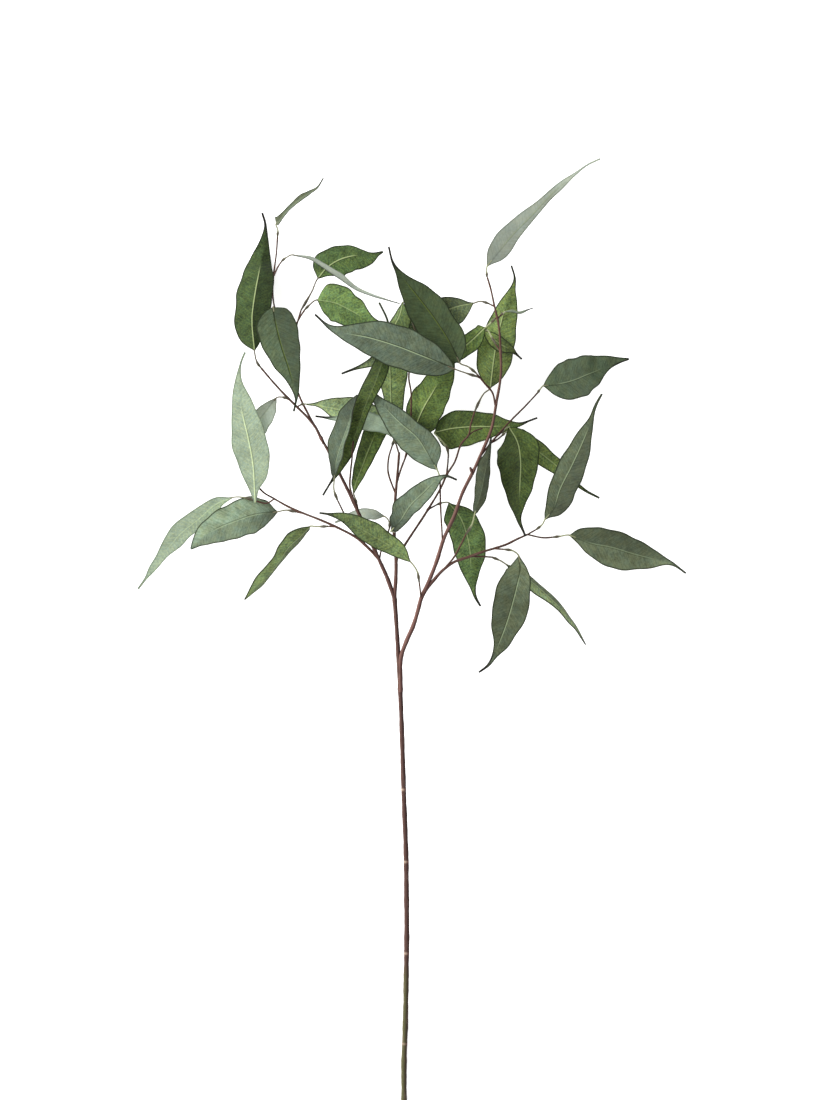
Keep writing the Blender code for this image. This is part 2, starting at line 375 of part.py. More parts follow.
def place(points):
    """Millimetres from the foot of the picture, to metres in the part's frame."""
    return (np.asarray(points, dtype=float) - ORIGIN) * MM


def smooth_path(points, stations):
    """Points on a smooth curve through the given ones, at stations from 0 to 1.

    Each stretch is a cubic that starts and ends with the average direction of
    its neighbours, and a station is a share of the length between the points.
    """
    points = np.asarray(points, dtype=float)
    steps = np.linalg.norm(np.diff(points, axis=0), axis=1)
    along = np.concatenate(([0.0], np.cumsum(steps)))
    slopes = np.gradient(points, along, axis=0)
    wanted = np.asarray(stations) * along[-1]
    k = np.clip(np.searchsorted(along, wanted, side="right") - 1, 0, len(points) - 2)
    span = (along[k + 1] - along[k])[:, None]
    u = (wanted - along[k])[:, None] / span
    return ((2 * u**3 - 3 * u**2 + 1) * points[k] + (u**3 - 2 * u**2 + u) * span * slopes[k]
            + (3 * u**2 - 2 * u**3) * points[k + 1] + (u**3 - u**2) * span * slopes[k + 1])


def make_material(name, colour, roughness):
    """A plain Principled material."""
    material = bpy.data.materials.new(name)
    material.use_nodes = True
    shader = material.node_tree.nodes["Principled BSDF"]
    shader.inputs["Base Color"].default_value = colour
    shader.inputs["Roughness"].default_value = roughness
    material.diffuse_color = colour
    return material


def new_object(name, mesh, collection, material):
    """An object with one material, linked to a collection."""
    thing = bpy.data.objects.new(name, mesh)
    thing.data.materials.append(material)
    collection.objects.link(thing)
    return thing


def tube_mesh(name, points, radii, resolution):
    """A closed tube along the points, made by a bevelled curve with filled caps."""
    curve = bpy.data.curves.new(name, "CURVE")
    curve.dimensions = "3D"
    curve.bevel_depth = MM
    curve.bevel_resolution = resolution
    curve.use_fill_caps = True
    spline = curve.splines.new("POLY")
    spline.points.add(len(points) - 1)
    for point, place_mm, radius in zip(spline.points, points, radii):
        point.co = (*place(place_mm), 1.0)
        point.radius = radius
    guide = bpy.data.objects.new(name, curve)
    bpy.context.scene.collection.objects.link(guide)
    bpy.context.view_layer.update()
    depsgraph = bpy.context.evaluated_depsgraph_get()
    mesh = bpy.data.meshes.new_from_object(guide.evaluated_get(depsgraph))
    bpy.data.objects.remove(guide)
    welded = bmesh.new()
    welded.from_mesh(mesh)
    bmesh.ops.remove_doubles(welded, verts=welded.verts, dist=1e-6)
    bmesh.ops.recalc_face_normals(welded, faces=welded.faces)
    welded.to_mesh(mesh)
    welded.free()
    return mesh


def knot_mesh(name, centre, radius, half_length):
    """A swelling on the wood: a short barrel of three rings along the stem."""
    x, y, z = centre
    points = [(x, y + share * half_length, z) for share, _ in KNOT_RINGS]
    return tube_mesh(name, points, [share * radius for _, share in KNOT_RINGS], ROUND_TUBE)


def build_wood(collection, cutters, material):
    """Stem, branches, twigs and knots, joined into one solid."""
    meshes = []
    for name, ((thick, thin), points) in BRANCHES.items():
        steps = np.linalg.norm(np.diff(np.array(points, dtype=float), axis=0), axis=1)
        shares = np.concatenate(([0.0], np.cumsum(steps))) / steps.sum()
        radii = thick + (thin - thick) * shares
        roundness = ROUND_TUBE if thick > THICK_TUBE else PLAIN_TUBE
        meshes.append(tube_mesh(name, points, radii, roundness))
    for number, (centre, radius, half_length) in enumerate(KNOTS):
        meshes.append(knot_mesh(f"knot_{number}", centre, radius, half_length))
    for name, _, _, _, twig, _, _ in LEAVES:
        if twig is not None and len(twig) > 1:
            radii = [TWIG_RADIUS] * len(twig)
            meshes.append(tube_mesh(name + "_twig", twig, radii, PLAIN_TUBE))
    wood = new_object("wood", meshes[0], collection, material)
    for mesh in meshes[1:]:
        cutter = bpy.data.objects.new(mesh.name, mesh)
        cutter.hide_render = True
        cutter.display_type = "WIRE"
        cutters.objects.link(cutter)
    union = wood.modifiers.new("union", "BOOLEAN")
    union.operation = "UNION"
    union.operand_type = "COLLECTION"
    union.collection = cutters
    union.solver = "MANIFOLD"
    bpy.context.view_layer.update()
    depsgraph = bpy.context.evaluated_depsgraph_get()
    joined = bpy.data.meshes.new_from_object(wood.evaluated_get(depsgraph))
    wood.modifiers.clear()
    wood.data = joined
    for cutter in list(cutters.objects):
        bpy.data.objects.remove(cutter)
    return wood


def blade_half_widths(name, start):
    """How far the blade reaches left and right of its rib, at every blade station."""
    return [np.array([start, *half, TIP_HALF_WIDTH]) for half in OUTLINES[name]]


def leaf_path(twig, stalk, midrib):
    """The leaf's centreline and the stalk's radii: stalk stations, then the blade's."""
    blade = smooth_path(midrib, BLADE_STATIONS)
    if stalk is None:
        return blade, np.zeros(0)
    route = np.array([twig[-1], *stalk, midrib[0], midrib[1]], dtype=float)
    steps = np.linalg.norm(np.diff(route, axis=0), axis=1)
    route[0] += SEAT_GAP * (route[1] - route[0]) / steps[0]
    shares = np.array(STALK_STATIONS) * steps[:-1].sum() / steps.sum()
    radii = np.array([SOCKET_RADIUS, NODE_RADIUS, PETIOLE_RADIUS, PETIOLE_RADIUS])
    return np.vstack((smooth_path(route, shares), blade)), radii


def leaf_directions(path, midrib, roll, count):
    """Sideways and upward directions along the leaf, turned by its roll."""
    tangent = np.gradient(path, axis=0)
    tangent /= np.linalg.norm(tangent, axis=1)[:, None]
    ahead = np.subtract(midrib[-1], midrib[0])
    across = np.array([ahead[1], -ahead[0], 0.0]) / math.hypot(ahead[0], ahead[1])
    side_way = across - (tangent @ across)[:, None] * tangent
    side_way /= np.linalg.norm(side_way, axis=1)[:, None]
    up_way = np.cross(side_way, tangent)
    turn = np.full(len(path), math.radians(roll[0]))
    turn[count:] = np.radians(roll[0] + (roll[1] - roll[0]) * np.array(BLADE_STATIONS))
    cos, sin = np.cos(turn)[:, None], np.sin(turn)[:, None]
    return side_way * cos + up_way * sin, up_way * cos - side_way * sin


def leaf_rings(name, number, side, path, radii, ways):
    """Six points at every station: left edge, rib and right edge, above and below.

    The stalk's points lie on a circle; the blade's lie on a folded, waved strip,
    and where the blade meets the table it is pressed flat on it.
    """
    side_way, up_way = ways
    count = len(radii)
    stations = np.array(BLADE_STATIONS)
    rings = np.zeros((len(path), 6, 3))
    for k, angle in enumerate(np.radians(STALK_ANGLES)):
        spoke = math.cos(angle) * side_way[:count] + math.sin(angle) * up_way[:count]
        rings[:count, k] = path[:count] + radii[:, None] * spoke
    left, right = blade_half_widths(name, PETIOLE_RADIUS if count else TIP_HALF_WIDTH)
    fold = math.tan(math.radians(FOLD_DEGREES)) * (1 if side == "upper" else -1)
    for k, (edge, level) in enumerate(((-1, 1), (0, 1), (1, 1), (1, -1), (0, -1), (-1, -1))):
        half = left if edge < 0 else right
        turns = WAVES_PER_BLADE * stations + WAVE_SHIFT * number + WAVE_OFFSET * edge
        wave = 2 * WAVE_SHARE * half * np.sin(2 * math.pi * turns)
        lift = abs(edge) * (fold * half + wave) + level * BLADE_THICKNESS / 2
        rings[count:, k] = (path[count:] + edge * half[:, None] * side_way[count:]
                            + lift[:, None] * up_way[count:])
    floor = np.array([BLADE_THICKNESS] * 3 + [0.0] * 3)
    rings[count:, :, 2] = np.maximum(rings[count:, :, 2], floor)
    return rings


def leaf_faces(rings_count):
    """Triangles round the rings, alike above and below, and one end cap at each end."""
    faces = []
    for i in range(rings_count - 1):
        for a, b in ((0, 1), (1, 2), (2, 3), (3, 4), (4, 5), (5, 0)):
            near_a, near_b, far_a, far_b = 6 * i + a, 6 * i + b, 6 * i + 6 + a, 6 * i + 6 + b
            if a in (1, 2, 4, 5):
                faces += [(near_a, near_b, far_b), (near_a, far_b, far_a)]
            else:
                faces += [(near_a, near_b, far_a), (near_b, far_b, far_a)]
    last = 6 * (rings_count - 1)
    for start in (0, last):
        for a, b, c in ((0, 1, 4), (0, 4, 5), (1, 2, 3), (1, 3, 4)):
            faces.append((start + a, start + b, start + c))
    return faces


def leaf_mesh(row, number):
    """A leaf as a loft: round stalk with a swollen socket, then a folded blade."""
    name, side, _, roll, twig, stalk, midrib = row
    path, radii = leaf_path(twig, stalk, midrib)
    ways = leaf_directions(path, midrib, roll, len(radii))
    rings = leaf_rings(name, number, side, path, radii, ways)
    mesh = bpy.data.meshes.new(name)
    mesh.from_pydata([tuple(p) for p in place(rings.reshape(-1, 3))], [], leaf_faces(len(path)))
    shell = bmesh.new()
    shell.from_mesh(mesh)
    bmesh.ops.recalc_face_normals(shell, faces=shell.faces)
    shell.to_mesh(mesh)
    shell.free()
    return mesh


def build():
    """The whole branch, in a collection named for it."""
    for thing in list(bpy.data.objects):
        bpy.data.objects.remove(thing)
    parts = bpy.data.collections.new("eucalyptus_branch")
    cutters = bpy.data.collections.new("cutters")
    bpy.context.scene.collection.children.link(parts)
    bpy.context.scene.collection.children.link(cutters)
    build_wood(parts, cutters, make_material("wood_bark", BARK, 0.6))
    for number, row in enumerate(LEAVES):
        name, _, colour = row[:3]
        green = make_material(name + "_green", colour, 0.55)
        new_object(name, leaf_mesh(row, number), parts, green)


build()
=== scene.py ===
# %% [markdown]
# # A eucalyptus branch on a pale table
#
# A thin woody stem forks into a left, a middle and a right branch, and long lance-shaped leaves
# hang from their twigs on thin stalks. The imported model gives the frame: one node of wood and one
# node for each leaf, all about a metre long together. This lesson dresses them. The wood is swept
# again with a finer skin, and each leaf is worked out as a waved sheet with a rib, a rim and a
# stalk. Colour, veins and bark are painted by shader nodes that follow each piece.

# %% Load the imported model
import math

import bpy
import numpy as np
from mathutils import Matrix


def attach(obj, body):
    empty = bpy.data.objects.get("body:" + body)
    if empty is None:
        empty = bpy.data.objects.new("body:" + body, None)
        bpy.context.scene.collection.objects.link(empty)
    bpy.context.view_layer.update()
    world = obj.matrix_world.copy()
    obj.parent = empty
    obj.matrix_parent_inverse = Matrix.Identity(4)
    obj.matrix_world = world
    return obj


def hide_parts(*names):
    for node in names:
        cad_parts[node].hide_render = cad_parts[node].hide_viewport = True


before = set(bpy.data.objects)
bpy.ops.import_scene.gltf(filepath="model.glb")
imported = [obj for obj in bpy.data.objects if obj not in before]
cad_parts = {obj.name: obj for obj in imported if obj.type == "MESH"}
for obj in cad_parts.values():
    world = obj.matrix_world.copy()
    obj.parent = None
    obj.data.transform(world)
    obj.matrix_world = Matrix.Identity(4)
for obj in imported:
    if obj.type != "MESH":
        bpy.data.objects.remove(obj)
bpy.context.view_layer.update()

# %% [markdown]
# ## Where things are
#
# Places are measured in millimetres on the table: x to the right, y up along the stem from the
# foot of the picture, z up from the table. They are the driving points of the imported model, so a
# finer piece lands on the node that it replaces. One function moves them to metres.

# %% The frame that all points share
MM = 0.001
ORIGIN = np.array([7.91, 445.545, 0.0])
STEM_LENGTH_HIDDEN = 50.0


def place(points):
    """Table millimetres to metres in the model's frame: take away ORIGIN, then scale by MM."""
    return (np.asarray(points, dtype=float) - ORIGIN) * MM


print("the foot of the picture is at", place((0, 0, 0)).round(4).tolist())

# %% [markdown]
# ## The wood's centrelines
#
# A branch is easiest to describe as a few points along its middle and a radius at each end. The
# first point lies inside the branch that it grows from, so the tubes run into each other.

# %% Centrelines of stem, branches and twigs
BRANCHES = {
    "stem": ((2.5, 1.7), [
        (0, -STEM_LENGTH_HIDDEN, 2.5), (0, 0, 2.5), (0, 36, 3), (1.4, 76, 6), (2.1, 116, 11),
        (2.8, 170, 18), (2.5, 210, 24), (2.2, 238, 28.5), (-0.3, 310, 40), (-1.6, 353, 47),
        (-3.3, 400, 53), (-5.1, 433, 58), (-6, 451, 60), (-8.6, 491, 65.5), (-9.5, 503, 67)]),
    "right": ((1.9, 0.95), [
        (-3.3, 408, 54.4), (-2.4, 445, 61), (3, 460, 65), (9.2, 474, 68), (14.6, 492, 71),
        (17.3, 502, 73), (21.7, 511.4, 75), (26.2, 522, 77), (32.4, 538, 79), (39.7, 561, 82),
        (50.2, 584, 85), (58.6, 607.4, 88), (69.1, 628.4, 90), (77.5, 647, 92), (87, 670, 93),
        (92.3, 697.4, 94), (96.9, 727, 94), (96.5, 748, 93), (94.4, 775.3, 92),
        (90.2, 794.3, 90), (86, 813.2, 88), (82.9, 823.2, 87.4)]),
    "left": ((1.7, 1.0), [
        (-9, 500, 66.6), (-16.9, 522.5, 69), (-24.9, 540.4, 71), (-34.7, 562, 73),
        (-44.5, 585, 75), (-54.4, 606.4, 76), (-65.1, 628, 77), (-75.8, 649.3, 78),
        (-83, 662, 79), (-88.3, 672.5, 79), (-95.4, 681.4, 79), (-108, 694, 78),
        (-118.6, 704.6, 77), (-131, 718, 76), (-143.2, 732.4, 75)]),
    "middle": ((1.6, 1.1), [
        (-9.5, 499, 66.5), (-7.9, 535, 69), (-9.7, 563.6, 71), (-8.8, 599.3, 73),
        (-7, 621, 74), (-5.2, 642, 75), (-4.8, 648, 75.5)]),
    "low_left": ((1.3, 0.9), [
        (-24.6, 540, 71), (-34.7, 551, 72), (-47.2, 562, 72), (-61.5, 570, 72),
        (-70.4, 574.3, 72), (-84.7, 580.5, 71), (-100.8, 586.8, 69), (-117, 594, 67),
        (-131, 602, 67), (-139, 606.5, 72), (-145.1, 612.2, 77.9)]),
    "low_right": ((1.4, 1.0), [
        (18.6, 505.4, 73.6), (29, 519, 76), (39.7, 530.6, 77), (50.2, 538, 78),
        (65, 543.2, 79), (79.6, 548.5, 79), (90.2, 551.6, 78), (102.8, 555.8, 77),
        (113.3, 561, 76), (124.5, 566, 75)]),
    "long_twig": ((1.2, 0.9), [
        (-8.4, 532, 69), (-6, 544, 71), (0.7, 554.8, 74), (23.9, 590.3, 80), (37.6, 613.7, 85),
        (42.8, 625.3, 86), (50.2, 637, 86), (58.6, 658, 86), (63.9, 663.8, 86.5),
        (67, 676.4, 87.5), (70.8, 688.6, 87)]),
    "left_twig": ((1.1, 0.9), [
        (-89, 673.5, 79), (-97.2, 688.6, 73), (-106, 708, 66), (-107.4, 745, 56),
        (-107.4, 777.7, 52)]),
    "far_left_twig": ((0.95, 0.85), [
        (-107.4, 750, 55.3), (-118, 768, 42), (-128, 787, 26), (-131.5, 806, 14),
        (-130.6, 828, 6)]),
    "middle_twig_left": ((0.95, 0.85), [
        (-8.5, 606, 73), (-16.1, 630.5, 74), (-15.1, 643.2, 73), (-11.5, 655, 72)]),
    "middle_twig_right": ((0.95, 0.85), [
        (-7.9, 614, 73.7), (-2.4, 632.7, 74), (1.8, 643.2, 74.3), (4.5, 650, 74.5)]),
    "inner_twig": ((0.9, 0.85), [
        (1, 641.4, 74.2), (6, 665, 82), (7.2, 692, 84), (7, 708, 84), (4.9, 721.4, 84),
        (8, 743, 85), (11.2, 755, 86), (11.4, 768, 87)]),
    "side_twig": ((1.0, 0.9), [
        (91.5, 693, 93.8), (87.8, 708, 97), (81.7, 715, 100), (75.5, 722.5, 102.5)]),
    "right_twig": ((1.0, 0.85), [
        (75.5, 642.8, 91.8), (86, 655.8, 89), (104.9, 677.4, 82), (121.7, 694.3, 72),
        (133.6, 707.2, 61)]),
    "rising_twig": ((1.0, 0.85), [
        (39, 530, 77), (50.2, 543.2, 81), (56.5, 554.8, 85), (62.4, 566.6, 88)]),
    "bare_twig": ((0.8, 0.6), [
        (60.5, 660, 86.2), (69, 668, 85), (78.7, 671.8, 82)]),
    "seated_twig": ((0.95, 0.9), [
        (-44, 584, 75), (-50, 600, 81.5), (-54, 613, 87), (-53.5, 626, 92), (-51.7, 644, 98),
        (-51.2, 652, 99.5), (-50.4, 659, 97.4)]),
}

# %% [markdown]
# ## Rings and knots
#
# The stem has a few pale rings, like joints, and swellings where twigs stand on it. They could be
# rings of their own, but on the branch they are one skin with the wood. So they are kept as
# places where a tube grows thicker.

# %% Rings and knots of the wood
# Place, radius and half length; the first four are the stem's pale rings
KNOTS = [
    ((0, 55, 4.3), 2.9, 1.4), ((2.4, 146, 15), 2.8, 1.8), ((2.2, 238, 28.5), 2.5, 2.2),
    ((-0.2, 310.5, 40), 2.7, 1.6), ((-1.0, 338, 44.6), 2.4, 2.2), ((-1.6, 353, 47), 2.5, 2.6),
    ((-3.3, 411, 54.6), 2.75, 1.2), ((-9, 500, 66.7), 2.6, 3.0), ((-82.6, 661.4, 79), 1.9, 2.2),
    ((67.2, 629.2, 90), 1.9, 2.2), ((19.5, 507, 74), 2.2, 2.4), ((96.6, 748, 93), 1.6, 1.6),
    ((23.9, 590.3, 80), 1.5, 1.5), ((42.8, 625.3, 86), 1.4, 1.4),
]
print("branches and twigs:", len(BRANCHES), "knots:", len(KNOTS))

# %% [markdown]
# ## The leaves' driving points
#
# Each leaf has a twig that it stands on, a stalk and a midrib, and is rolled a little about the
# midrib. Leaves 7 and 16 lie on a twig's end with no stalk showing.

# %% Each leaf: the side that shows, roll at both ends, twig, stalk and midrib
LEAVES = [
    ("leaf_01", "under", (4, 0),
     [(-143.2, 732.4, 75)], [(-146.3, 736.5, 75)],
     [(-149.5, 749.6, 74), (-152, 780, 57), (-149, 807, 38), (-145, 829, 20), (-142, 845, 3),
      (-140.4, 853, 0), (-139, 866, 0), (-138.8, 876, 0), (-142.2, 888, 0.6)]),
    ("leaf_02", "upper", (60, 64),
     [(-130.7, 826, 6.5), (-127.6, 850, 17), (-126.7, 864.3, 26)], [(-126.4, 871, 28)],
     [(-128, 876.4, 30), (-123, 883, 33), (-114, 893, 36), (-105, 901, 38),
      (-95, 907, 39.5), (-87, 912.5, 40), (-80.6, 922.3, 40)]),
    ("leaf_03", "upper", (70, 74),
     [(-130.9, 824, 7.4), (-126, 834, 23), (-122.2, 839.3, 38)], [(-117, 843, 53)],
     [(-110.6, 845, 62), (-93, 840.4, 68), (-79, 831.6, 70), (-63, 821, 70),
      (-50, 811.4, 68), (-33, 804.6, 66), (-18.6, 800.4, 64), (-4.4, 796.4, 62)]),
    ("leaf_04", "under", (6, 10),
     [(-107.4, 775, 52.3), (-103, 790, 51)], [(-92, 809, 50)],
     [(-86.1, 821.8, 48), (-77.6, 832, 46), (-63.3, 841, 42), (-49, 844.6, 38),
      (-34.7, 844.6, 34), (-21, 848.6, 30)]),
    ("leaf_05", "under", (-6, 0),
     [(-107.2, 777, 52.2), (-104, 783, 56), (-99, 790.5, 61)], [(-94.5, 795, 64)],
     [(-86.5, 800, 66), (-69.6, 797.2, 68), (-52.3, 789, 70), (-36, 779.6, 72),
      (-17, 773, 73)]),
    ("leaf_06", "upper", (4, 0),
     [(-107.4, 746, 55.8), (-113, 760, 62), (-119, 771, 67)], [(-126, 783, 69), (-130.6, 791, 72)],
     [(-130.8, 792.6, 77), (-127.6, 775, 86), (-122.2, 753.6, 91), (-115.1, 732, 93),
      (-109.7, 712.5, 92), (-107.9, 700, 90), (-110.1, 688.4, 88)]),
    ("leaf_07", "under", (4, 8),
     None, None,
     [(-148.6, 597, 76), (-149.4, 612, 80), (-150.8, 635, 85), (-155.2, 660, 89),
      (-160.6, 683, 91), (-164.7, 706.4, 91), (-165.1, 724.3, 89), (-162.4, 738.6, 86),
      (-158.8, 747.5, 83)]),
    ("leaf_08", "upper", (6, 6),
     [(-107.8, 693.8, 78), (-113, 699, 80.5), (-117, 701.2, 80.5)], [(-122, 702.8, 78.5)],
     [(-128, 701.6, 75.5), (-136, 690.5, 72), (-144.5, 679, 70), (-154, 661, 68),
      (-161, 642, 66)]),
    ("leaf_09", "upper", (0, 4),
     [(76.5, 721.4, 102), (73, 723.2, 104)], [(63.3, 726.1, 109)],
     [(50.2, 730.7, 113), (19.6, 743, 117), (-8, 753.7, 118), (-35.5, 762, 117),
      (-61.6, 767.4, 113), (-73.8, 772, 109), (-88.8, 785.1, 103)]),
    ("leaf_10", "under", (12, 18),
     [(-129.5, 601.2, 67), (-136.5, 597, 66), (-150.8, 600, 65)], [(-159.7, 602.5, 63)],
     [(-172.2, 602.3, 60), (-187.7, 595.9, 52), (-205, 581.4, 43), (-224.6, 565.4, 33),
      (-239, 548, 23), (-250, 532.4, 14), (-266.5, 511, 5)]),
    ("leaf_11", "upper", (-4, 0),
     [(-100.4, 586.6, 69), (-108, 588.2, 66)], [(-118.6, 589.8, 62)],
     [(-126.7, 588.2, 59), (-150.8, 584.7, 57), (-167, 579.4, 60), (-184.7, 572.3, 63),
      (-201.6, 562.5, 62), (-213, 551.1, 58)]),
    ("leaf_12", "under", (46, 54),
     [(-68, 573.2, 72), (-76, 573.6, 70)], [(-88.3, 573.4, 66)],
     [(-94.5, 573.4, 63), (-103.6, 564.2, 58), (-115.6, 552.9, 50), (-126.4, 537.2, 40),
      (-139.2, 521.4, 28), (-152.2, 507.7, 17), (-159.7, 500.2, 12)]),
    ("leaf_13", "under", (8, 8),
     [(17, 501, 72.8), (16.6, 506, 77), (15.2, 518, 83)], [(13, 529, 87)],
     [(6, 538.6, 90), (-6, 549.3, 92), (-24, 560, 93), (-42, 570.7, 93),
      (-59.7, 581.4, 91.5), (-77.6, 586, 88), (-84.4, 587, 86)]),
    ("leaf_14", "upper", (46, 40),
     [(-24.6, 539.6, 71), (-22.5, 551, 70), (-17, 564, 69), (-14.6, 572, 68)],
     [(-14.8, 578, 67.4)],
     [(-19.7, 583.6, 66), (-34, 587, 64), (-48, 586.4, 60), (-69, 577.5, 54)]),
    ("leaf_15", "upper", (48, 50),
     [(-45, 560.6, 72), (-52.6, 571, 76), (-60.2, 587, 84), (-66.5, 600, 92)],
     [(-70, 611, 99)],
     [(-69.5, 620.7, 104), (-67.5, 638, 109), (-61, 660, 113), (-55, 676, 115),
      (-50.5, 692, 115), (-46.6, 705, 114)]),
    ("leaf_16", "under", (4, 4),
     None, None,
     [(-17, 748, 106), (-22, 736, 107), (-28.7, 717, 107), (-39, 693, 104), (-47, 670, 99),
      (-53.5, 654, 94), (-64, 634, 89), (-73, 618, 85), (-81, 604.6, 83)]),
    ("leaf_17", "under", (0, 0),
     [(-107, 693, 78), (-102.6, 695.4, 77)], [(-99.6, 696, 76.6)],
     [(-97, 695.6, 76.4), (-84, 694, 76), (-71, 691.2, 76), (-44, 686, 76), (-22, 679, 76),
      (-4, 670, 77)]),
    ("leaf_18", "upper", (0, -4),
     [(38.6, 557.6, 81.5), (37.6, 574, 87), (36.5, 595, 93), (36, 620, 97)],
     [(34.6, 626.6, 98)],
     [(32.9, 630.5, 98.6), (24, 645, 99.5), (13, 662, 100), (-3, 676, 100), (-18, 691, 98),
      (-29, 703, 96), (-39, 715, 95)]),
    ("leaf_19", "upper", (-4, 0),
     [(-4.9, 646, 75.4), (-8, 656, 78)], [(-9, 662, 81)],
     [(-8, 665, 82), (-28, 677, 87), (-48, 681.5, 87), (-65, 681.4, 86),
      (-88.6, 683.6, 86)]),
    ("leaf_20", "under", (0, 0),
     [(-45, 586, 75), (-47.3, 597, 78.5)], [(-49.2, 603, 79)],
     [(-50.3, 607, 79), (-47, 620, 77), (-43.5, 629, 75), (-38.5, 642, 72), (-33, 656, 69),
      (-28, 668, 66), (-16, 700, 60)]),
    ("leaf_21", "under", (0, 0),
     [(-11.5, 655, 72)], [(-10.4, 660, 71)],
     [(-10, 664, 70), (-12.5, 690, 66), (-13.5, 712, 65), (-14, 731, 64),
      (-15, 758, 62), (-16.3, 778.7, 60), (-24.8, 797.5, 58)]),
    ("leaf_22", "under", (0, 0),
     [(4.5, 650, 74.5)], [(5.5, 656, 75)],
     [(7, 663, 76), (20, 693, 77), (30, 710, 78), (40, 727, 79), (49, 744, 80)]),
    ("leaf_23", "under", (0, 0),
     [(42.6, 624.6, 85.6), (43.9, 638, 79), (44.4, 645, 75)], [(43, 652, 71.5), (36, 661, 68)],
     [(30.8, 667.8, 66), (48, 671.5, 66), (71.2, 673.4, 65), (92.3, 673.5, 64),
      (113.3, 675.4, 65), (133.3, 682.1, 70)]),
    ("leaf_24", "upper", (0, -6),
     [(77.8, 719.6, 101.4), (72, 726.6, 101.6)], [(64, 733, 103)],
     [(55.5, 737, 104), (43.5, 760.5, 100), (29.5, 782, 98), (12.5, 804.2, 97),
      (-2.5, 823.5, 97), (-11.7, 839, 98), (-15.3, 853, 99)]),
    ("leaf_25", "under", (0, 0),
     [(90.5, 793, 90), (85, 796, 88.6)], [(76, 798.4, 86)],
     [(69, 796.4, 84), (52, 793, 82), (30, 783, 80), (5, 764, 79), (-27, 741, 82),
      (-62.3, 726.1, 86)]),
    ("leaf_26", "under", (0, 0),
     [(11.4, 768, 87)], [(9, 778, 88), (4, 790, 88), (0, 797.5, 89)],
     [(-1.4, 797, 91), (-5, 783, 92), (-12, 771, 93), (-22, 758, 94), (-31, 748, 95)]),
    ("leaf_28", "under", (0, 4),
     [(70.8, 688.6, 87)], [(75, 698, 84.5), (80, 706.5, 81)],
     [(86.3, 712.3, 78), (89, 735, 74), (93, 760, 70), (99, 785, 65), (106, 808, 60),
      (110.5, 822, 56), (107.4, 834.5, 52)]),
    ("leaf_29", "under", (0, 0),
     [(94, 783.5, 91.5), (90.5, 780.5, 90.5)], [(86, 776.3, 88.6)],
     [(81, 772, 87), (66, 758, 88), (50, 746, 90), (30, 738, 92), (12, 733, 92)]),
    ("leaf_30", "under", (10, 20),
     [(96.6, 748, 93), (91.6, 755.6, 90)], [(87.6, 762.5, 87), (83, 769.5, 83)],
     [(80.4, 768, 80), (89, 761, 79), (98, 754.5, 79), (107, 750, 79), (117.7, 740.7, 79)]),
    ("leaf_31", "under", (66, 66),
     [(93.4, 781, 91.6), (97.6, 785.4, 89)], [(99.5, 787, 87.6)],
     [(101, 787.8, 86), (108, 789.2, 84), (115, 787.6, 82), (122, 789.5, 81),
      (129.2, 792, 81)]),
    ("leaf_32", "upper", (8, 28),
     [(82.9, 823.2, 87.4)], [(82.6, 829, 88)],
     [(83.2, 833.8, 89), (93.3, 846.4, 93), (110.2, 866.6, 99), (127.4, 884, 104),
      (142, 899.8, 107), (156.8, 914.2, 109), (170.8, 925.2, 109), (182.8, 934.2, 107),
      (195.8, 940.5, 104)]),
    ("leaf_33", "upper", (0, 0),
     [(133.6, 707.2, 61)], [(136.6, 711.4, 59)],
     [(139.6, 714.3, 57), (149, 715.3, 51), (168, 719.5, 33), (183, 725.6, 12),
      (194, 730, -2.6), (204, 734.3, -2.6), (213, 737.4, -1.5), (225.5, 741.6, -0.6)]),
    ("leaf_34", "upper", (6, 12),
     [(123.6, 565.6, 75), (132.3, 570.6, 73.5)], [(138.6, 576, 71.5)],
     [(141.1, 580.7, 70), (149, 590.6, 70), (155.4, 609.5, 72), (168, 635, 74),
      (178.6, 658, 74), (187, 679, 72), (192, 696, 69), (197.9, 706, 66)]),
    ("leaf_35", "upper", (-4, -8),
     [(123.4, 565.4, 75), (140.7, 562.2, 72.5), (149, 562.8, 71)], [(155.4, 563.6, 69)],
     [(165.9, 564.7, 66), (187, 557, 59), (208, 552.7, 49), (229, 546.4, 38), (250, 541, 27),
      (267, 537, 18), (282.3, 526.8, 10)]),
    ("leaf_36", "upper", (0, 4),
     [(89, 551.4, 78.2), (100.7, 550.6, 79)], [(110.2, 548.5, 78)],
     [(114.8, 543.8, 76), (116.5, 531.6, 74), (113.3, 515, 70), (109, 498, 64),
      (102.8, 477, 56), (96.5, 460, 48), (90.2, 445.3, 40), (83.9, 435, 33), (75, 427.5, 26)]),
    ("leaf_37", "under", (46, 52),
     [(66, 543.6, 79), (79.6, 543.4, 75.4), (88, 542.8, 73)], [(98, 538.4, 68)],
     [(103, 535, 66), (129.4, 516, 59), (144, 503, 52), (154.6, 492.8, 44), (165.6, 480.4, 35),
      (174.4, 468.5, 25), (182, 455.2, 15)]),
    ("leaf_38", "under", (0, 0),
     [(23.9, 590.3, 80), (33, 595.4, 76)], [(39.5, 597.4, 72)],
     [(44.9, 597, 69), (56.5, 582, 66), (62.8, 565.3, 64), (66, 548.5, 62), (67, 531.6, 58),
      (69, 515, 53), (72.3, 502.2, 48), (76.5, 493.8, 43)]),
    ("leaf_39", "upper", (44, 44),
     [(62.4, 566.6, 88)], [(68, 576, 91)],
     [(70.6, 585.7, 94), (76.6, 606, 98), (80.8, 626.3, 101), (84.6, 646, 103), (87, 662, 103)]),
    ("leaf_40", "under", (0, 0),
     [(92.4, 663.2, 86.6), (97.6, 667.6, 83)], [(102, 671.6, 80.6)],
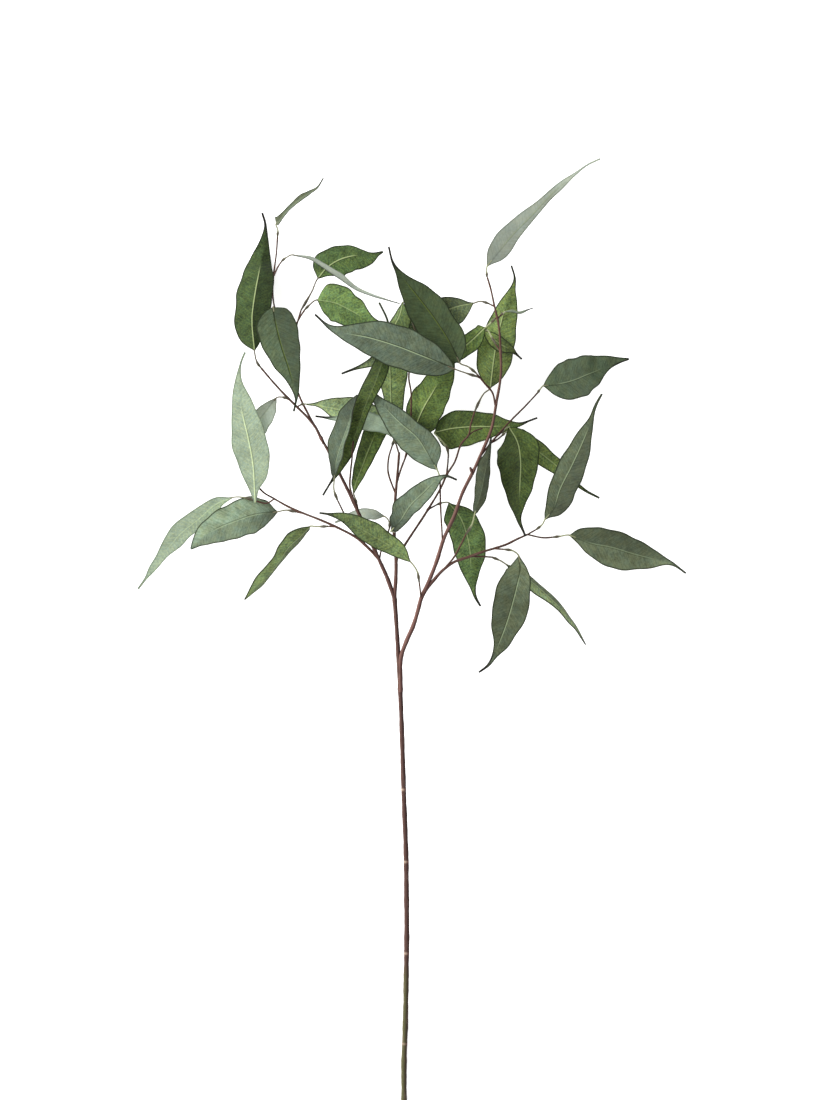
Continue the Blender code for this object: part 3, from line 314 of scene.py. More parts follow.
     [(105.2, 672.6, 79), (113.3, 658, 79), (116.5, 637, 80), (115.8, 616, 81),
      (115.4, 595, 82), (116.5, 578, 83), (121.3, 563.8, 84)]),
    ("leaf_41", "under", (0, 0),
     [(87, 657, 88.7), (94, 661, 83), (98, 664.4, 77.4)], [(102.4, 668, 73.6)],
     [(106.4, 669.6, 72.5), (134.4, 648.4, 64), (149, 637, 60), (181, 610, 54),
      (195.4, 602.1, 52)]),
    ("leaf_42", "upper", (4, 0),
     [(-9.5, 567, 71), (-9.8, 568.4, 77)], [(-10.4, 569, 86)],
     [(-12.6, 569.4, 96), (-4, 579, 99), (5.2, 593.4, 101), (19.8, 608, 103),
      (33.6, 620.6, 104), (42, 623.9, 104.5), (52.9, 620, 104)]),
]
print("leaves:", len(LEAVES))

# %% [markdown]
# ## The leaves' outlines
#
# A eucalyptus leaf is seldom the same on both sides of its rib. So each blade has two rows of half
# widths, left and right, read at nine places along it. A smooth line goes through them later.

# %% Half widths of every blade at nine shares of its length
OUTLINE_PLACES = (0.03, 0.08, 0.16, 0.28, 0.42, 0.56, 0.7, 0.82, 0.91)
# Half widths of each blade in millimetres, left and right of its rib, at OUTLINE_PLACES
OUTLINES = {
    "leaf_01": ((6, 12.3, 17.2, 17.6, 19, 16.6, 12.3, 5.5, 1.8),
                (4.3, 8.4, 12.9, 16.8, 17.4, 15.5, 9.7, 4.2, 1.2)),
    "leaf_02": ((7.5, 6, 4.2, 4.2, 4.5, 5, 4, 2.4, 1.4),
                (6.5, 7, 7, 6.8, 6.5, 6.2, 5, 3, 1.4)),
    "leaf_03": ((2, 4, 6.5, 8.4, 9, 7.9, 5.5, 3, 1.4),
                (2, 3.5, 4.5, 5.5, 6, 5.5, 4, 2.5, 1.4)),
    "leaf_04": ((4.7, 10.8, 15.7, 16.2, 14.6, 12.4, 7.4, 3.7, 1.9),
                (2.5, 5.1, 9.5, 15, 16.1, 14.8, 12.9, 8.5, 3.4)),
    "leaf_05": ((8, 15.2, 18, 19, 15.7, 13.3, 7.9, 4.5, 2.7),
                (4.4, 10.6, 16, 18.6, 17.3, 15.3, 9.5, 3.9, 2)),
    "leaf_06": ((10.1, 14.9, 19.1, 19.9, 18, 13.5, 8.2, 4, 1.2),
                (7.1, 13.5, 19, 20.5, 17.4, 13.4, 6.5, 2.5, 0.9)),
    "leaf_07": ((2.5, 5.2, 10.6, 16.1, 17.8, 12.6, 7.8, 3.2, 1),
                (2.2, 3.9, 12.3, 17, 17.5, 15.3, 10, 3.1, 1)),
    "leaf_08": ((2.5, 4.3, 7.8, 10.3, 11.2, 11, 6.6, 2.7, 0.9),
                (2, 4.2, 6.8, 9.1, 10.5, 10, 6.6, 2.7, 0.9)),
    "leaf_09": ((6.5, 12.3, 17, 19.9, 20.9, 17.7, 10.9, 4, 1.3),
                (5.3, 10.3, 15.6, 19.9, 20.9, 18.7, 11.1, 4.5, 1.7)),
    "leaf_10": ((1.7, 3.8, 7.7, 10, 9.5, 9.3, 4.5, 2.8, 1),
                (2.2, 5.2, 7.7, 10.1, 11.2, 9.7, 6, 4.7, 1.8)),
    "leaf_11": ((4.1, 8.1, 14.1, 17.8, 17.4, 16.5, 13.2, 9.5, 5),
                (4.4, 11.6, 15.6, 20, 18.4, 17.2, 14, 10, 5.5)),
    "leaf_12": ((4, 5, 7.3, 8.5, 6.2, 4.8, 5, 6, 4),
                (5, 9.5, 12, 10.7, 9.2, 9.4, 9.8, 8, 4.5)),
    "leaf_13": ((2.6, 5, 7.5, 9.5, 10.5, 9.5, 5.8, 3, 1.2),
                (2.4, 5.4, 9, 10.5, 12.9, 11.5, 8, 4, 1.6)),
    "leaf_14": ((1.6, 3.7, 7.2, 8, 8.5, 7.2, 4.5, 2.5, 1.5),
                (2.1, 4.2, 7.5, 8, 6.8, 5, 4, 3.5, 1.5)),
    "leaf_15": ((3.6, 6.1, 8.4, 13.1, 16.4, 16.9, 16.7, 12.8, 8),
                (1.7, 3.5, 6.2, 9, 6.5, 6.5, 3.1, 1, 0.6)),
    "leaf_16": ((6.9, 8.2, 8.5, 6.5, 5.6, 5, 5.9, 4, 1.2),
                (6.5, 7.9, 9.7, 11.1, 11.4, 10.8, 6.4, 2, 1.1)),
    "leaf_17": ((1.3, 2.7, 7, 11.4, 14.5, 14.5, 11.5, 6.5, 2.5),
                (0.6, 1, 3, 9.2, 11, 11.5, 9.5, 5.5, 2)),
    "leaf_18": ((4.4, 8.5, 13.5, 18.5, 18.7, 14.5, 9.9, 5.5, 3),
                (2.4, 9, 15.2, 14.5, 12, 12.2, 8.6, 4.5, 2.3)),
    "leaf_19": ((4, 4.5, 6.5, 9.2, 11, 9, 3.8, 2.2, 1.2),
                (2.1, 4.4, 6.8, 8.3, 8.7, 6.9, 3, 1.6, 0.8)),
    "leaf_20": ((1.7, 4.1, 5.9, 8.5, 10.2, 11.7, 11.5, 7.5, 3),
                (1.8, 3.3, 5.2, 6.8, 8.6, 9.7, 10.5, 7.5, 3)),
    "leaf_21": ((3.2, 5.4, 6.8, 7.4, 10.5, 10.5, 6, 1.5, 0.8),
                (4.5, 8, 11.3, 13.1, 16.8, 16.5, 7, 1.5, 0.8)),
    "leaf_22": ((5.3, 9.5, 12.5, 15.7, 17.7, 15.6, 13, 9, 4.5),
                (6.5, 13, 18.5, 19.9, 19.6, 17.6, 14.1, 10.4, 6.5)),
    "leaf_23": ((5.8, 12, 16, 17.2, 14.8, 13.1, 6.5, 1.8, 1),
                (12, 18.5, 20, 19.3, 16.3, 10.6, 5, 2.5, 1)),
    "leaf_24": ((7.5, 11.8, 18.1, 21.6, 21.1, 17, 9.4, 2.9, 1.2),
                (5.5, 12.2, 17.5, 17, 18.3, 15.5, 7.7, 2, 0.9)),
    "leaf_25": ((7, 14.5, 18.5, 18.5, 17, 14, 9, 4, 1.6),
                (2.5, 7.3, 13, 14, 14, 11.5, 7.5, 3, 1.3)),
    "leaf_26": ((2.5, 5.5, 10.2, 14, 14, 12, 8.5, 4.5, 2),
                (1.2, 2.4, 4.1, 5.3, 5.9, 5.8, 5.2, 3.5, 1.8)),
    "leaf_28": ((6.4, 11.3, 16.2, 17.6, 15, 11.6, 6.5, 1.6, 1),
                (5, 10.5, 15.7, 18.3, 18, 15.2, 11, 4, 1.2)),
    "leaf_29": ((2.8, 5.9, 9.3, 10.5, 9.3, 9.1, 8, 5, 2),
                (6.2, 7.1, 8, 9.7, 11.9, 11, 9, 3.3, 1.5)),
    "leaf_30": ((1.9, 3.7, 5.6, 7.1, 7.5, 6.4, 4, 1.6, 1),
                (1.9, 3.7, 5.6, 7.1, 7.5, 6.4, 4, 1.6, 1)),
    "leaf_31": ((1, 2, 3, 3.8, 4, 3.4, 2.2, 1.2, 0.8),
                (1, 2, 3, 3.8, 4, 3.4, 2.2, 1.2, 0.8)),
    "leaf_32": ((4.5, 9.4, 12, 11.4, 9, 5, 3.6, 1.6, 0.9),
                (3.1, 7.7, 10, 7.7, 5.5, 4.1, 4.2, 1.6, 1)),
    "leaf_33": ((6.1, 12.5, 18.6, 21.5, 20.9, 19.1, 16.2, 11, 5.5),
                (4.1, 10.1, 17.2, 18.5, 19.2, 15.7, 11, 3.5, 1.5)),
    "leaf_34": ((4.5, 7.7, 10.3, 11.4, 13, 10.9, 7.6, 2.5, 1.2),
                (2.7, 9, 15.1, 16.5, 15.3, 12.1, 6, 2, 1.8)),
    "leaf_35": ((7.3, 12.8, 16.7, 18.2, 17, 14.3, 9.3, 3.2, 1.4),
                (2.5, 5.2, 11.1, 17.9, 19.8, 15.5, 9.8, 3.5, 1.2)),
    "leaf_36": ((2.5, 6, 12, 15.1, 17.5, 13.4, 9.3, 3.5, 2),
                (5.5, 12.5, 16.5, 20, 18.3, 14.9, 5.8, 1.8, 1.1)),
    "leaf_37": ((2.4, 4.8, 7.6, 7.7, 7.6, 7.4, 5.4, 4, 1.8),
                (2.4, 4.8, 7.3, 9, 5.7, 3.8, 4.5, 2.5, 2)),
    "leaf_38": ((2.4, 7.1, 13.2, 16.7, 17.2, 14.1, 7.5, 2.3, 0.8),
                (6.4, 13.7, 16.4, 16.3, 16.3, 13.5, 7.7, 3.2, 2)),
    "leaf_39": ((3, 4.7, 5.5, 7.4, 9.6, 10.6, 8.3, 4, 2),
                (3.1, 5, 8.1, 10.4, 10.6, 8.5, 4.4, 3, 2)),
    "leaf_40": ((5.3, 10.6, 18.7, 19.3, 15.9, 13, 6.6, 1.6, 1),
                (5.3, 12, 20.5, 23.3, 21.5, 16.3, 10.7, 4.8, 2)),
    "leaf_41": ((3.8, 8.3, 8.6, 9.8, 8.2, 7, 2.9, 1.7, 0.8),
                (3.8, 7.4, 11, 13, 10, 7.8, 2.9, 1.8, 1.5)),
    "leaf_42": ((3, 8.9, 11.3, 14.6, 11.9, 10.8, 6.7, 2.5, 1),
                (4.5, 5.7, 6.6, 8.4, 10.2, 9, 7.1, 2.5, 1.4)),
}

# %% [markdown]
# ## Leaf proportions
#
# These numbers are common to all leaves. A real blade is thinner than a millimetre and never flat:
# it is folded a little along the rib and its edges wave.

# %% Proportions that all leaves share
BLADE_THICKNESS = 0.75
LEAF_TWIG_RADIUS = 0.85
FOLD_DEGREES = 12.0
WAVE_SHARE = 0.03
WAVES_PER_BLADE = 2.2
WAVE_SHIFT = 0.27
WAVE_OFFSET = 0.33
TIP_HALF_WIDTH = 1.0
STALK_RADIUS = 0.75
print("blade proportions are set")

# %% [markdown]
# ## A smooth path through given points
#
# Blender's own curves could bend a profile along a path, but a path worked out with numpy can be
# read at any place, which the leaves need for their width, waves and colour. So one function turns
# a list of points into a smooth line. Each stretch is a cubic that leaves and arrives with the
# average direction of its neighbours.

# %% Paths and the directions across them
def cubic_through(places, values, wanted):
    """Values at the wanted places of a smooth line through the given ones.

    Between two places it is a cubic blend of the two values and of the slopes there.
    """
    slopes = np.gradient(values, places, axis=0)
    k = np.clip(np.searchsorted(places, wanted, side="right") - 1, 0, len(places) - 2)
    column = (-1,) + (1,) * (values.ndim - 1)
    span = (places[k + 1] - places[k]).reshape(column)
    u = (wanted - places[k]).reshape(column) / span
    return ((2 * u**3 - 3 * u**2 + 1) * values[k] + (u**3 - 2 * u**2 + u) * span * slopes[k]
            + (3 * u**2 - 2 * u**3) * values[k + 1] + (u**3 - u**2) * span * slopes[k + 1])


def smooth_path(points, stations):
    """Points of a smooth curve at stations from 0 to 1, as shares of the length."""
    points = np.asarray(points, dtype=float)
    along = np.concatenate(([0.0], np.cumsum(np.linalg.norm(np.diff(points, axis=0), axis=1))))
    return cubic_through(along, points, np.asarray(stations) * along[-1])


def unit(vectors):
    """Each row divided by its length."""
    return vectors / np.linalg.norm(vectors, axis=1)[:, None]


def run_of(path):
    """How far along the path each of its points lies."""
    return np.concatenate(([0.0], np.cumsum(np.linalg.norm(np.diff(path, axis=0), axis=1))))


def tube(path, radii, sides, squash):
    """A ring of points round each point of a path.

    The ring's two directions are the world axis that the path runs least along, made square to
    the path, and the one square to both. squash makes it slightly oval: the radius is multiplied
    by 1 + squash * cos(2 * angle + 0.15 * distance along).
    """
    tangent = unit(np.gradient(path, axis=0))
    axis = np.eye(3)[np.argmin(np.abs(tangent).max(axis=0))]
    first = unit(axis - (tangent @ axis)[:, None] * tangent)
    second = np.cross(tangent, first)
    angle = np.arange(sides) * 2 * math.pi / sides
    reach = radii[:, None] * (1 + squash * np.cos(2 * angle + 0.15 * run_of(path)[:, None]))
    return (path[:, None] + (reach * np.cos(angle))[..., None] * first[:, None]
            + (reach * np.sin(angle))[..., None] * second[:, None])


test = tube(smooth_path(BRANCHES["right"][1], np.linspace(0, 1, 40)), np.full(40, 2.0), 12, 0.0)
print("a tube of", test.shape[0], "rings and", test.shape[1], "sides")

# %% [markdown]
# ## From points to a mesh
#
# A ring of points carried along a path is a grid that closes on itself. Its faces are quads
# between neighbours, written as whole index arrays, and strips of quads shut each end. The
# winding is set by the shell's volume: if it comes out negative, every face is turned over.

# %% Faces of a carried ring
def ring_faces(rings, sides):
    """Quads between neighbouring rings: point k, its neighbour, and the same two a ring on."""
    i, k = np.meshgrid(np.arange(rings - 1), np.arange(sides), indexing="ij")
    after = (k + 1) % sides
    return np.stack([i * sides + k, i * sides + after, (i + 1) * sides + after,
                     (i + 1) * sides + k], axis=-1).reshape(-1, 4)


def end_faces(rings, sides):
    """The strips that shut both ends: they pair the ring's first half with its second half."""
    k = np.arange(sides // 2 - 1)
    first = np.stack([k, sides - 1 - k, sides - 2 - k, k + 1], axis=-1)
    last = first[:, ::-1] + (rings - 1) * sides
    return np.concatenate([first, last])


def shell_volume(points, quads):
    """Six times the volume inside: the sum over each half of each quad of a . (b x c)."""
    a, b, c, d = (points[quads[:, n]] for n in range(4))
    return (np.einsum("ij,ij->", a, np.cross(b, c)) + np.einsum("ij,ij->", a, np.cross(c, d)))


print("faces of that tube:", len(ring_faces(40, 12)) + len(end_faces(40, 12)))

# %% [markdown]
# ## One object for each node
#
# The wood's tubes are closed skins, and so are a blade and its stalk, but each node of the packed
# model is dressed by one object. So the shells are put together in one mesh, with their finishes
# as material slots and their colours and places as attributes. Two calls then tie the object to
# the body that it rides on and hide the node that it replaces.

# %% The mesh that holds the shells
def make_piece(name, shells, materials, nodes):
    """One object from several closed shells, each with points, quads, slots and attributes."""
    points, quads, picks, marks = [], [], [], {}
    count = 0
    for shell in shells:
        faces = shell["quads"]
        if shell_volume(shell["points"], faces) < 0:
            faces = faces[:, ::-1]
        points.append(shell["points"])
        quads.append(faces + count)
        picks.append(shell["slots"])
        for key, values in shell["marks"].items():
            marks.setdefault(key, []).append(values)
        count += len(shell["points"])
    mesh = bpy.data.meshes.new(name)
    mesh.from_pydata(place(np.concatenate(points)), [], np.concatenate(quads).tolist())
    mesh.polygons.foreach_set("material_index", np.concatenate(picks))
    mesh.polygons.foreach_set("use_smooth", np.ones(len(mesh.polygons), dtype=bool))
    for key, values in marks.items():
        values = np.concatenate(values)
        if values.shape[1] == 4:
            mesh.attributes.new(key, "FLOAT_COLOR", "POINT").data.foreach_set(
                "color", values.ravel())
        else:
            mesh.attributes.new(key, "FLOAT_VECTOR", "POINT").data.foreach_set(
                "vector", values.ravel())
    for material in materials:
        mesh.materials.append(material)
    mesh.update()
    piece = bpy.data.objects.new(name, mesh)
    bpy.context.scene.collection.objects.link(piece)
    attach(piece, "root")
    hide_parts(*nodes)
    return piece


# %% [markdown]
# ## Small helpers for shader nodes
#
# A material here is a chain of nodes. Adding a node, its numbers and its links takes three lines
# each time, so a few short functions do it and the materials below read like sums: a node, a
# sum, a product, a soft step, a mix of two colours, a noise and a new material.

# %% Shader helpers
def add_node(tree, kind, sockets, **settings):
    """One node: settings are its properties, sockets its inputs, by name or by number."""
    made = tree.nodes.new(kind)
    for key, value in settings.items():
        setattr(made, key, value)
    for key, value in sockets.items():
        if isinstance(value, bpy.types.NodeSocket):
            tree.links.new(value, made.inputs[key])
        else:
            made.inputs[key].default_value = value
    return made


def sum_of(tree, operation, *values):
    """A Math node's result."""
    return add_node(tree, "ShaderNodeMath", dict(enumerate(values)),
                    operation=operation).outputs[0]


def product_of(tree, first, *others):
    """All the values multiplied."""
    for other in others:
        first = sum_of(tree, "MULTIPLY", first, other)
    return first


def attribute_of(tree, name, output):
    """A value that each point of the mesh carries: output 0 is a colour, 1 a vector."""
    return add_node(tree, "ShaderNodeAttribute", {}, attribute_name=name).outputs[output]


def step_of(tree, value, low, high, start=0.0, end=1.0):
    """A soft step: start where value is below low, end above high."""
    return add_node(tree, "ShaderNodeMapRange",
                    {0: value, 1: low, 2: high, 3: start, 4: end},
                    interpolation_type="SMOOTHSTEP").outputs[0]


def mix_of(tree, factor, first, second, blend="MIX"):
    """A colour mixed from two."""
    return add_node(tree, "ShaderNodeMix", {0: factor, 6: first, 7: second},
                    data_type="RGBA", blend_type=blend).outputs[2]


def noise_of(tree, vector, scale, detail):
    """Noise from 0 to 1 whose patches are about 1 / scale wide, in the vector's unit."""
    return add_node(tree, "ShaderNodeTexNoise",
                    {"Vector": vector, "Scale": scale, "Detail": detail,
                     "Roughness": 0.6}).outputs["Fac"]


def new_finish(name):
    """A material, its node tree and its Principled shader."""
    material = bpy.data.materials.new(name)
    material.use_nodes = True
    tree = material.node_tree
    return material, tree, tree.nodes["Principled BSDF"]


print("shader helpers are ready")

# %% [markdown]
# ## Bark
#
# The stem is red-brown with pale streaks that run along it, turns olive green towards the cut end
# and has pale rings. The twigs are darker and smoother. The base colour is worked out per point
# from the height along the stem and the tube's thickness, and kept as a colour attribute. The
# shader adds streaks: a noise whose vector is stretched along the tube, kept as an attribute too,
# so the streaks bend with every twig.

# %% Bark finish
OLIVE_BARK = np.array([0.105, 0.100, 0.042])
RED_BARK = np.array([0.106, 0.053, 0.043])
TWIG_BARK = np.array([0.066, 0.030, 0.020])
RING_BARK = np.array([0.60, 0.45, 0.34])
PALE_STREAKS = (0.30, 0.20, 0.16, 1.0)
PALE_STREAK_SHARE = 0.4
SPECK = (0.028, 0.012, 0.011, 1.0)
SPECK_SHARE = 0.65
SPECK_SCALE = 5.0
BARK_SHEEN = 0.2
BARK_ROUGHNESS = 0.55
BARK_BUMP = 0.0004

# Rings: how many of the knots are pale, and how wide and how strong their colour is. Then how
# high the olive reaches and how fast it fades, and the radii where red and where brown is full
RING_COUNT = 4
RING_WIDTH = 1.0
RING_SHARE = 0.9
OLIVE_UP_TO = 128.0
OLIVE_FADE = 4.0
STEM_RADIUS_RED = 1.9
TWIG_RADIUS_DARK = 1.1


def bark_finish():
    """Streaked bark: pale streaks along it, dark specks and a low bump."""
    material, tree, shader = new_finish("bark")
    colour = attribute_of(tree, "bark_colour", 0)
    streak = attribute_of(tree, "bark_place", 1)
    pale_patches = noise_of(tree, streak, 1.0, 4.0)
    specks = noise_of(tree, streak, SPECK_SCALE, 3.0)
    pale = mix_of(tree, step_of(tree, pale_patches, 0.55, 0.75, 0.0, PALE_STREAK_SHARE), colour, PALE_STREAKS)
    dark = mix_of(tree, step_of(tree, specks, 0.55, 0.75, 0.0, SPECK_SHARE), pale, SPECK)
    tree.links.new(dark, shader.inputs["Base Color"])
    shader.inputs["Specular IOR Level"].default_value = BARK_SHEEN
    shader.inputs["Roughness"].default_value = BARK_ROUGHNESS
    height = sum_of(tree, "ADD", pale_patches, specks)
    bump = add_node(tree, "ShaderNodeBump",
                    {"Height": height, "Strength": 0.5, "Distance": BARK_BUMP})
    tree.links.new(bump.outputs[0], shader.inputs["Normal"])
    return material


bark = bark_finish()
print("bark:", len(bark.node_tree.nodes), "nodes")

# %% [markdown]
# ## The wood
#
# Stem, branches and twigs are one grown piece. Each is a tube along its smooth centreline whose
# radius falls from one end to the other, swells round every knot and wavers a little. The free end
# closes like a dome. Every tube is painted paler on its left and nearly black on its right, as
# painted light and shade: the light here is too even to shade it so, and it is painted in with the
# colour of each point. All tubes go into one object that stands for the imported wood.

# %% Sweep the wood
RING_STEP = 1.2
FEWEST_RINGS = 8
END_SHARE = 0.03
END_RINGS = np.array([0.6, 0.3, 0.1, 0.0])
LEAST_DOME = 0.03
BARK_SIDES = 16
BARK_SQUASH = 0.05
WAVER = 0.035
WAVER_TURNS = (0.35, 0.81)
SECOND_WAVER = 0.6

# Radii in millimetres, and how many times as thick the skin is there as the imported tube
GIRTH = ((1.0, 1.4, 1.9, 2.5), (1.0, 1.22, 1.28, 1.16))

# The painted light on the left and painted shade on the right of every tube, how pale each branch
# is beside the others, and short cut-off stubs with their radius
LIT_SIDE_PAINT = 2.0
SHADED_SIDE_PAINT = np.array([0.36, 0.18, 0.20])
BRANCH_TONES = {"stem": 0.66, "right": 1.15, "left": 0.75, "middle": 0.9}
STUBS = [
    ((-80.5, 656, 79.5), (-83.5, 664.5, 79.5), 1.1),
    ((68.6, 626, 90.5), (65.9, 633, 91.5), 1.1),
]
STUB_TONE = 0.9

# Where the streaks' noise is read: slowly along a tube, this far round it, elsewhere on the next
STREAK_ALONG = 0.06
STREAK_ROUND = 1.1
STREAK_SHIFT = 7.3


def wood_radii(path, run, thick, thin):
    """Radius along a branch: a straight fall, plus a bell round each knot, plus a small waver.

    The bell is exp(-(distance to the knot / half length) squared) times what the knot adds.
    """
    radii = thick + (thin - thick) * run / run[-1]
    radii = radii * np.interp(radii, *GIRTH)
    radii *= 1 + WAVER * (np.sin(WAVER_TURNS[0] * run + thick)
                          + SECOND_WAVER * np.sin(WAVER_TURNS[1] * run + 3 * thin))
    for centre, radius, half_length in KNOTS:
        distance = np.linalg.norm(path - np.array(centre), axis=1)
        radii += np.maximum(radius - radii, 0) * np.exp(-(distance / half_length)**2)
    dome = np.clip((run[-1] - run) / thin, LEAST_DOME, 1)
    return radii * np.sqrt(1 - (1 - dome)**2)


def bark_colours(path, radii, grid, tone):
    """Olive near the cut end, then red-brown, darker where the tube is thin, pale at the rings.

    All of it is multiplied by the branch's own tone, and each ring by a factor of painted light and
    shade that falls from the lit side's value on its left to the shaded side's value on its right.
    """
    olive = 1 / (1 + np.exp((path[:, 1] - OLIVE_UP_TO) / OLIVE_FADE))
    thin = np.clip((STEM_RADIUS_RED - radii) / (STEM_RADIUS_RED - TWIG_RADIUS_DARK), 0, 1)
    colour = RED_BARK + thin[:, None] * (TWIG_BARK - RED_BARK)
    colour = colour + olive[:, None] * (OLIVE_BARK - colour)
    for centre, _, _ in KNOTS[:RING_COUNT]:
        distance = np.linalg.norm(path - np.array(centre), axis=1)
        ring = np.exp(-(distance / RING_WIDTH)**2)
        colour = colour + RING_SHARE * ring[:, None] * (RING_BARK - colour)
    # Painted light and shade: each ring is paler on the tube's left and nearly black on its right.
    side = ((grid[..., 0] - path[:, :1]) / radii[:, None])[..., None]
    lighter = np.clip(-side, 0, 1) * (LIT_SIDE_PAINT - 1)
    darker = np.clip(2 * side, 0, 1) * (1 - SHADED_SIDE_PAINT)
    factor = 1 + lighter - darker
    colour = (colour[:, None] * tone * factor).reshape(-1, 3)
    return np.column_stack([colour, np.ones(len(colour))])


def wood_shell(points, thick, thin, tone, number):
    """One tube of wood, lifted clear of the table, with its bark colour and place for streaks."""
    length = run_of(np.array(points, dtype=float))[-1]
    rows = max(FEWEST_RINGS, int(length / RING_STEP))
    stations = np.concatenate([np.linspace(0, 1 - END_SHARE, rows), 1 - END_SHARE * END_RINGS])
    path = smooth_path(points, stations)
    run = run_of(path)
    radii = wood_radii(path, run, thick, thin)
    path[:, 2] = np.maximum(path[:, 2], radii)
    grid = tube(path, radii, BARK_SIDES, BARK_SQUASH)
    angle = np.arange(BARK_SIDES) * 2 * math.pi / BARK_SIDES
    streak = np.empty(grid.shape)
    streak[..., 0] = STREAK_ALONG * run[:, None] + STREAK_SHIFT * number
    streak[..., 1] = STREAK_ROUND * np.cos(angle)
    streak[..., 2] = STREAK_ROUND * np.sin(angle)
    colours = bark_colours(path, radii, grid, tone)
    quads = np.concatenate([ring_faces(len(path), BARK_SIDES), end_faces(len(path), BARK_SIDES)])
    return {"points": grid.reshape(-1, 3), "quads": quads, "slots": np.zeros(len(quads), int),
            "marks": {"bark_colour": colours, "bark_place": streak.reshape(-1, 3)}}


wood_rows = [(points, thick, thin, BRANCH_TONES.get(name, 1.0))
             for name, ((thick, thin), points) in BRANCHES.items()]
wood_rows += [(row[3], LEAF_TWIG_RADIUS, LEAF_TWIG_RADIUS, 1.0) for row in LEAVES
              if row[3] is not None and len(row[3]) > 1]
wood_rows += [((start, end), radius, radius, STUB_TONE) for start, end, radius in STUBS]
shells = [wood_shell(*values, n) for n, values in enumerate(wood_rows)]
wood = make_piece("branch_wood", shells, [bark], ["wood"])
print("wood:", len(shells), "tubes,", len(wood.data.polygons), "faces")

# %% [markdown]
# ## Leaf greens
#
# The upper side of a leaf is a dull grey-green and the under side a livelier green with a pale
# raised rib. The leaves also differ from one another, from silvery to nearly black green. So there
# are nine hues of one brightness, from frosted to vivid, and each leaf names one and then says how
# bright its left and right half, its stalk end and its tip are. The two halves' brightness is
# partly the leaf's own colour and partly painted shade, where one half of the folded blade turns
# from the light. These numbers become a colour at every point of the leaf.

# %% Greens and the look of each leaf
GREENS = {
    "frosted": (0.111, 0.125, 0.102),
    "silver": (0.101, 0.128, 0.095),
    "grey": (0.100, 0.129, 0.087),
    "sage": (0.106, 0.129, 0.077),
    "dull": (0.097, 0.132, 0.074),
    "moss": (0.093, 0.134, 0.058),
    "leafy": (0.083, 0.138, 0.052),
    "fresh": (0.093, 0.135, 0.047),
    "vivid": (0.088, 0.137, 0.043),
}

PALE_GREENS = ("frosted", "silver")
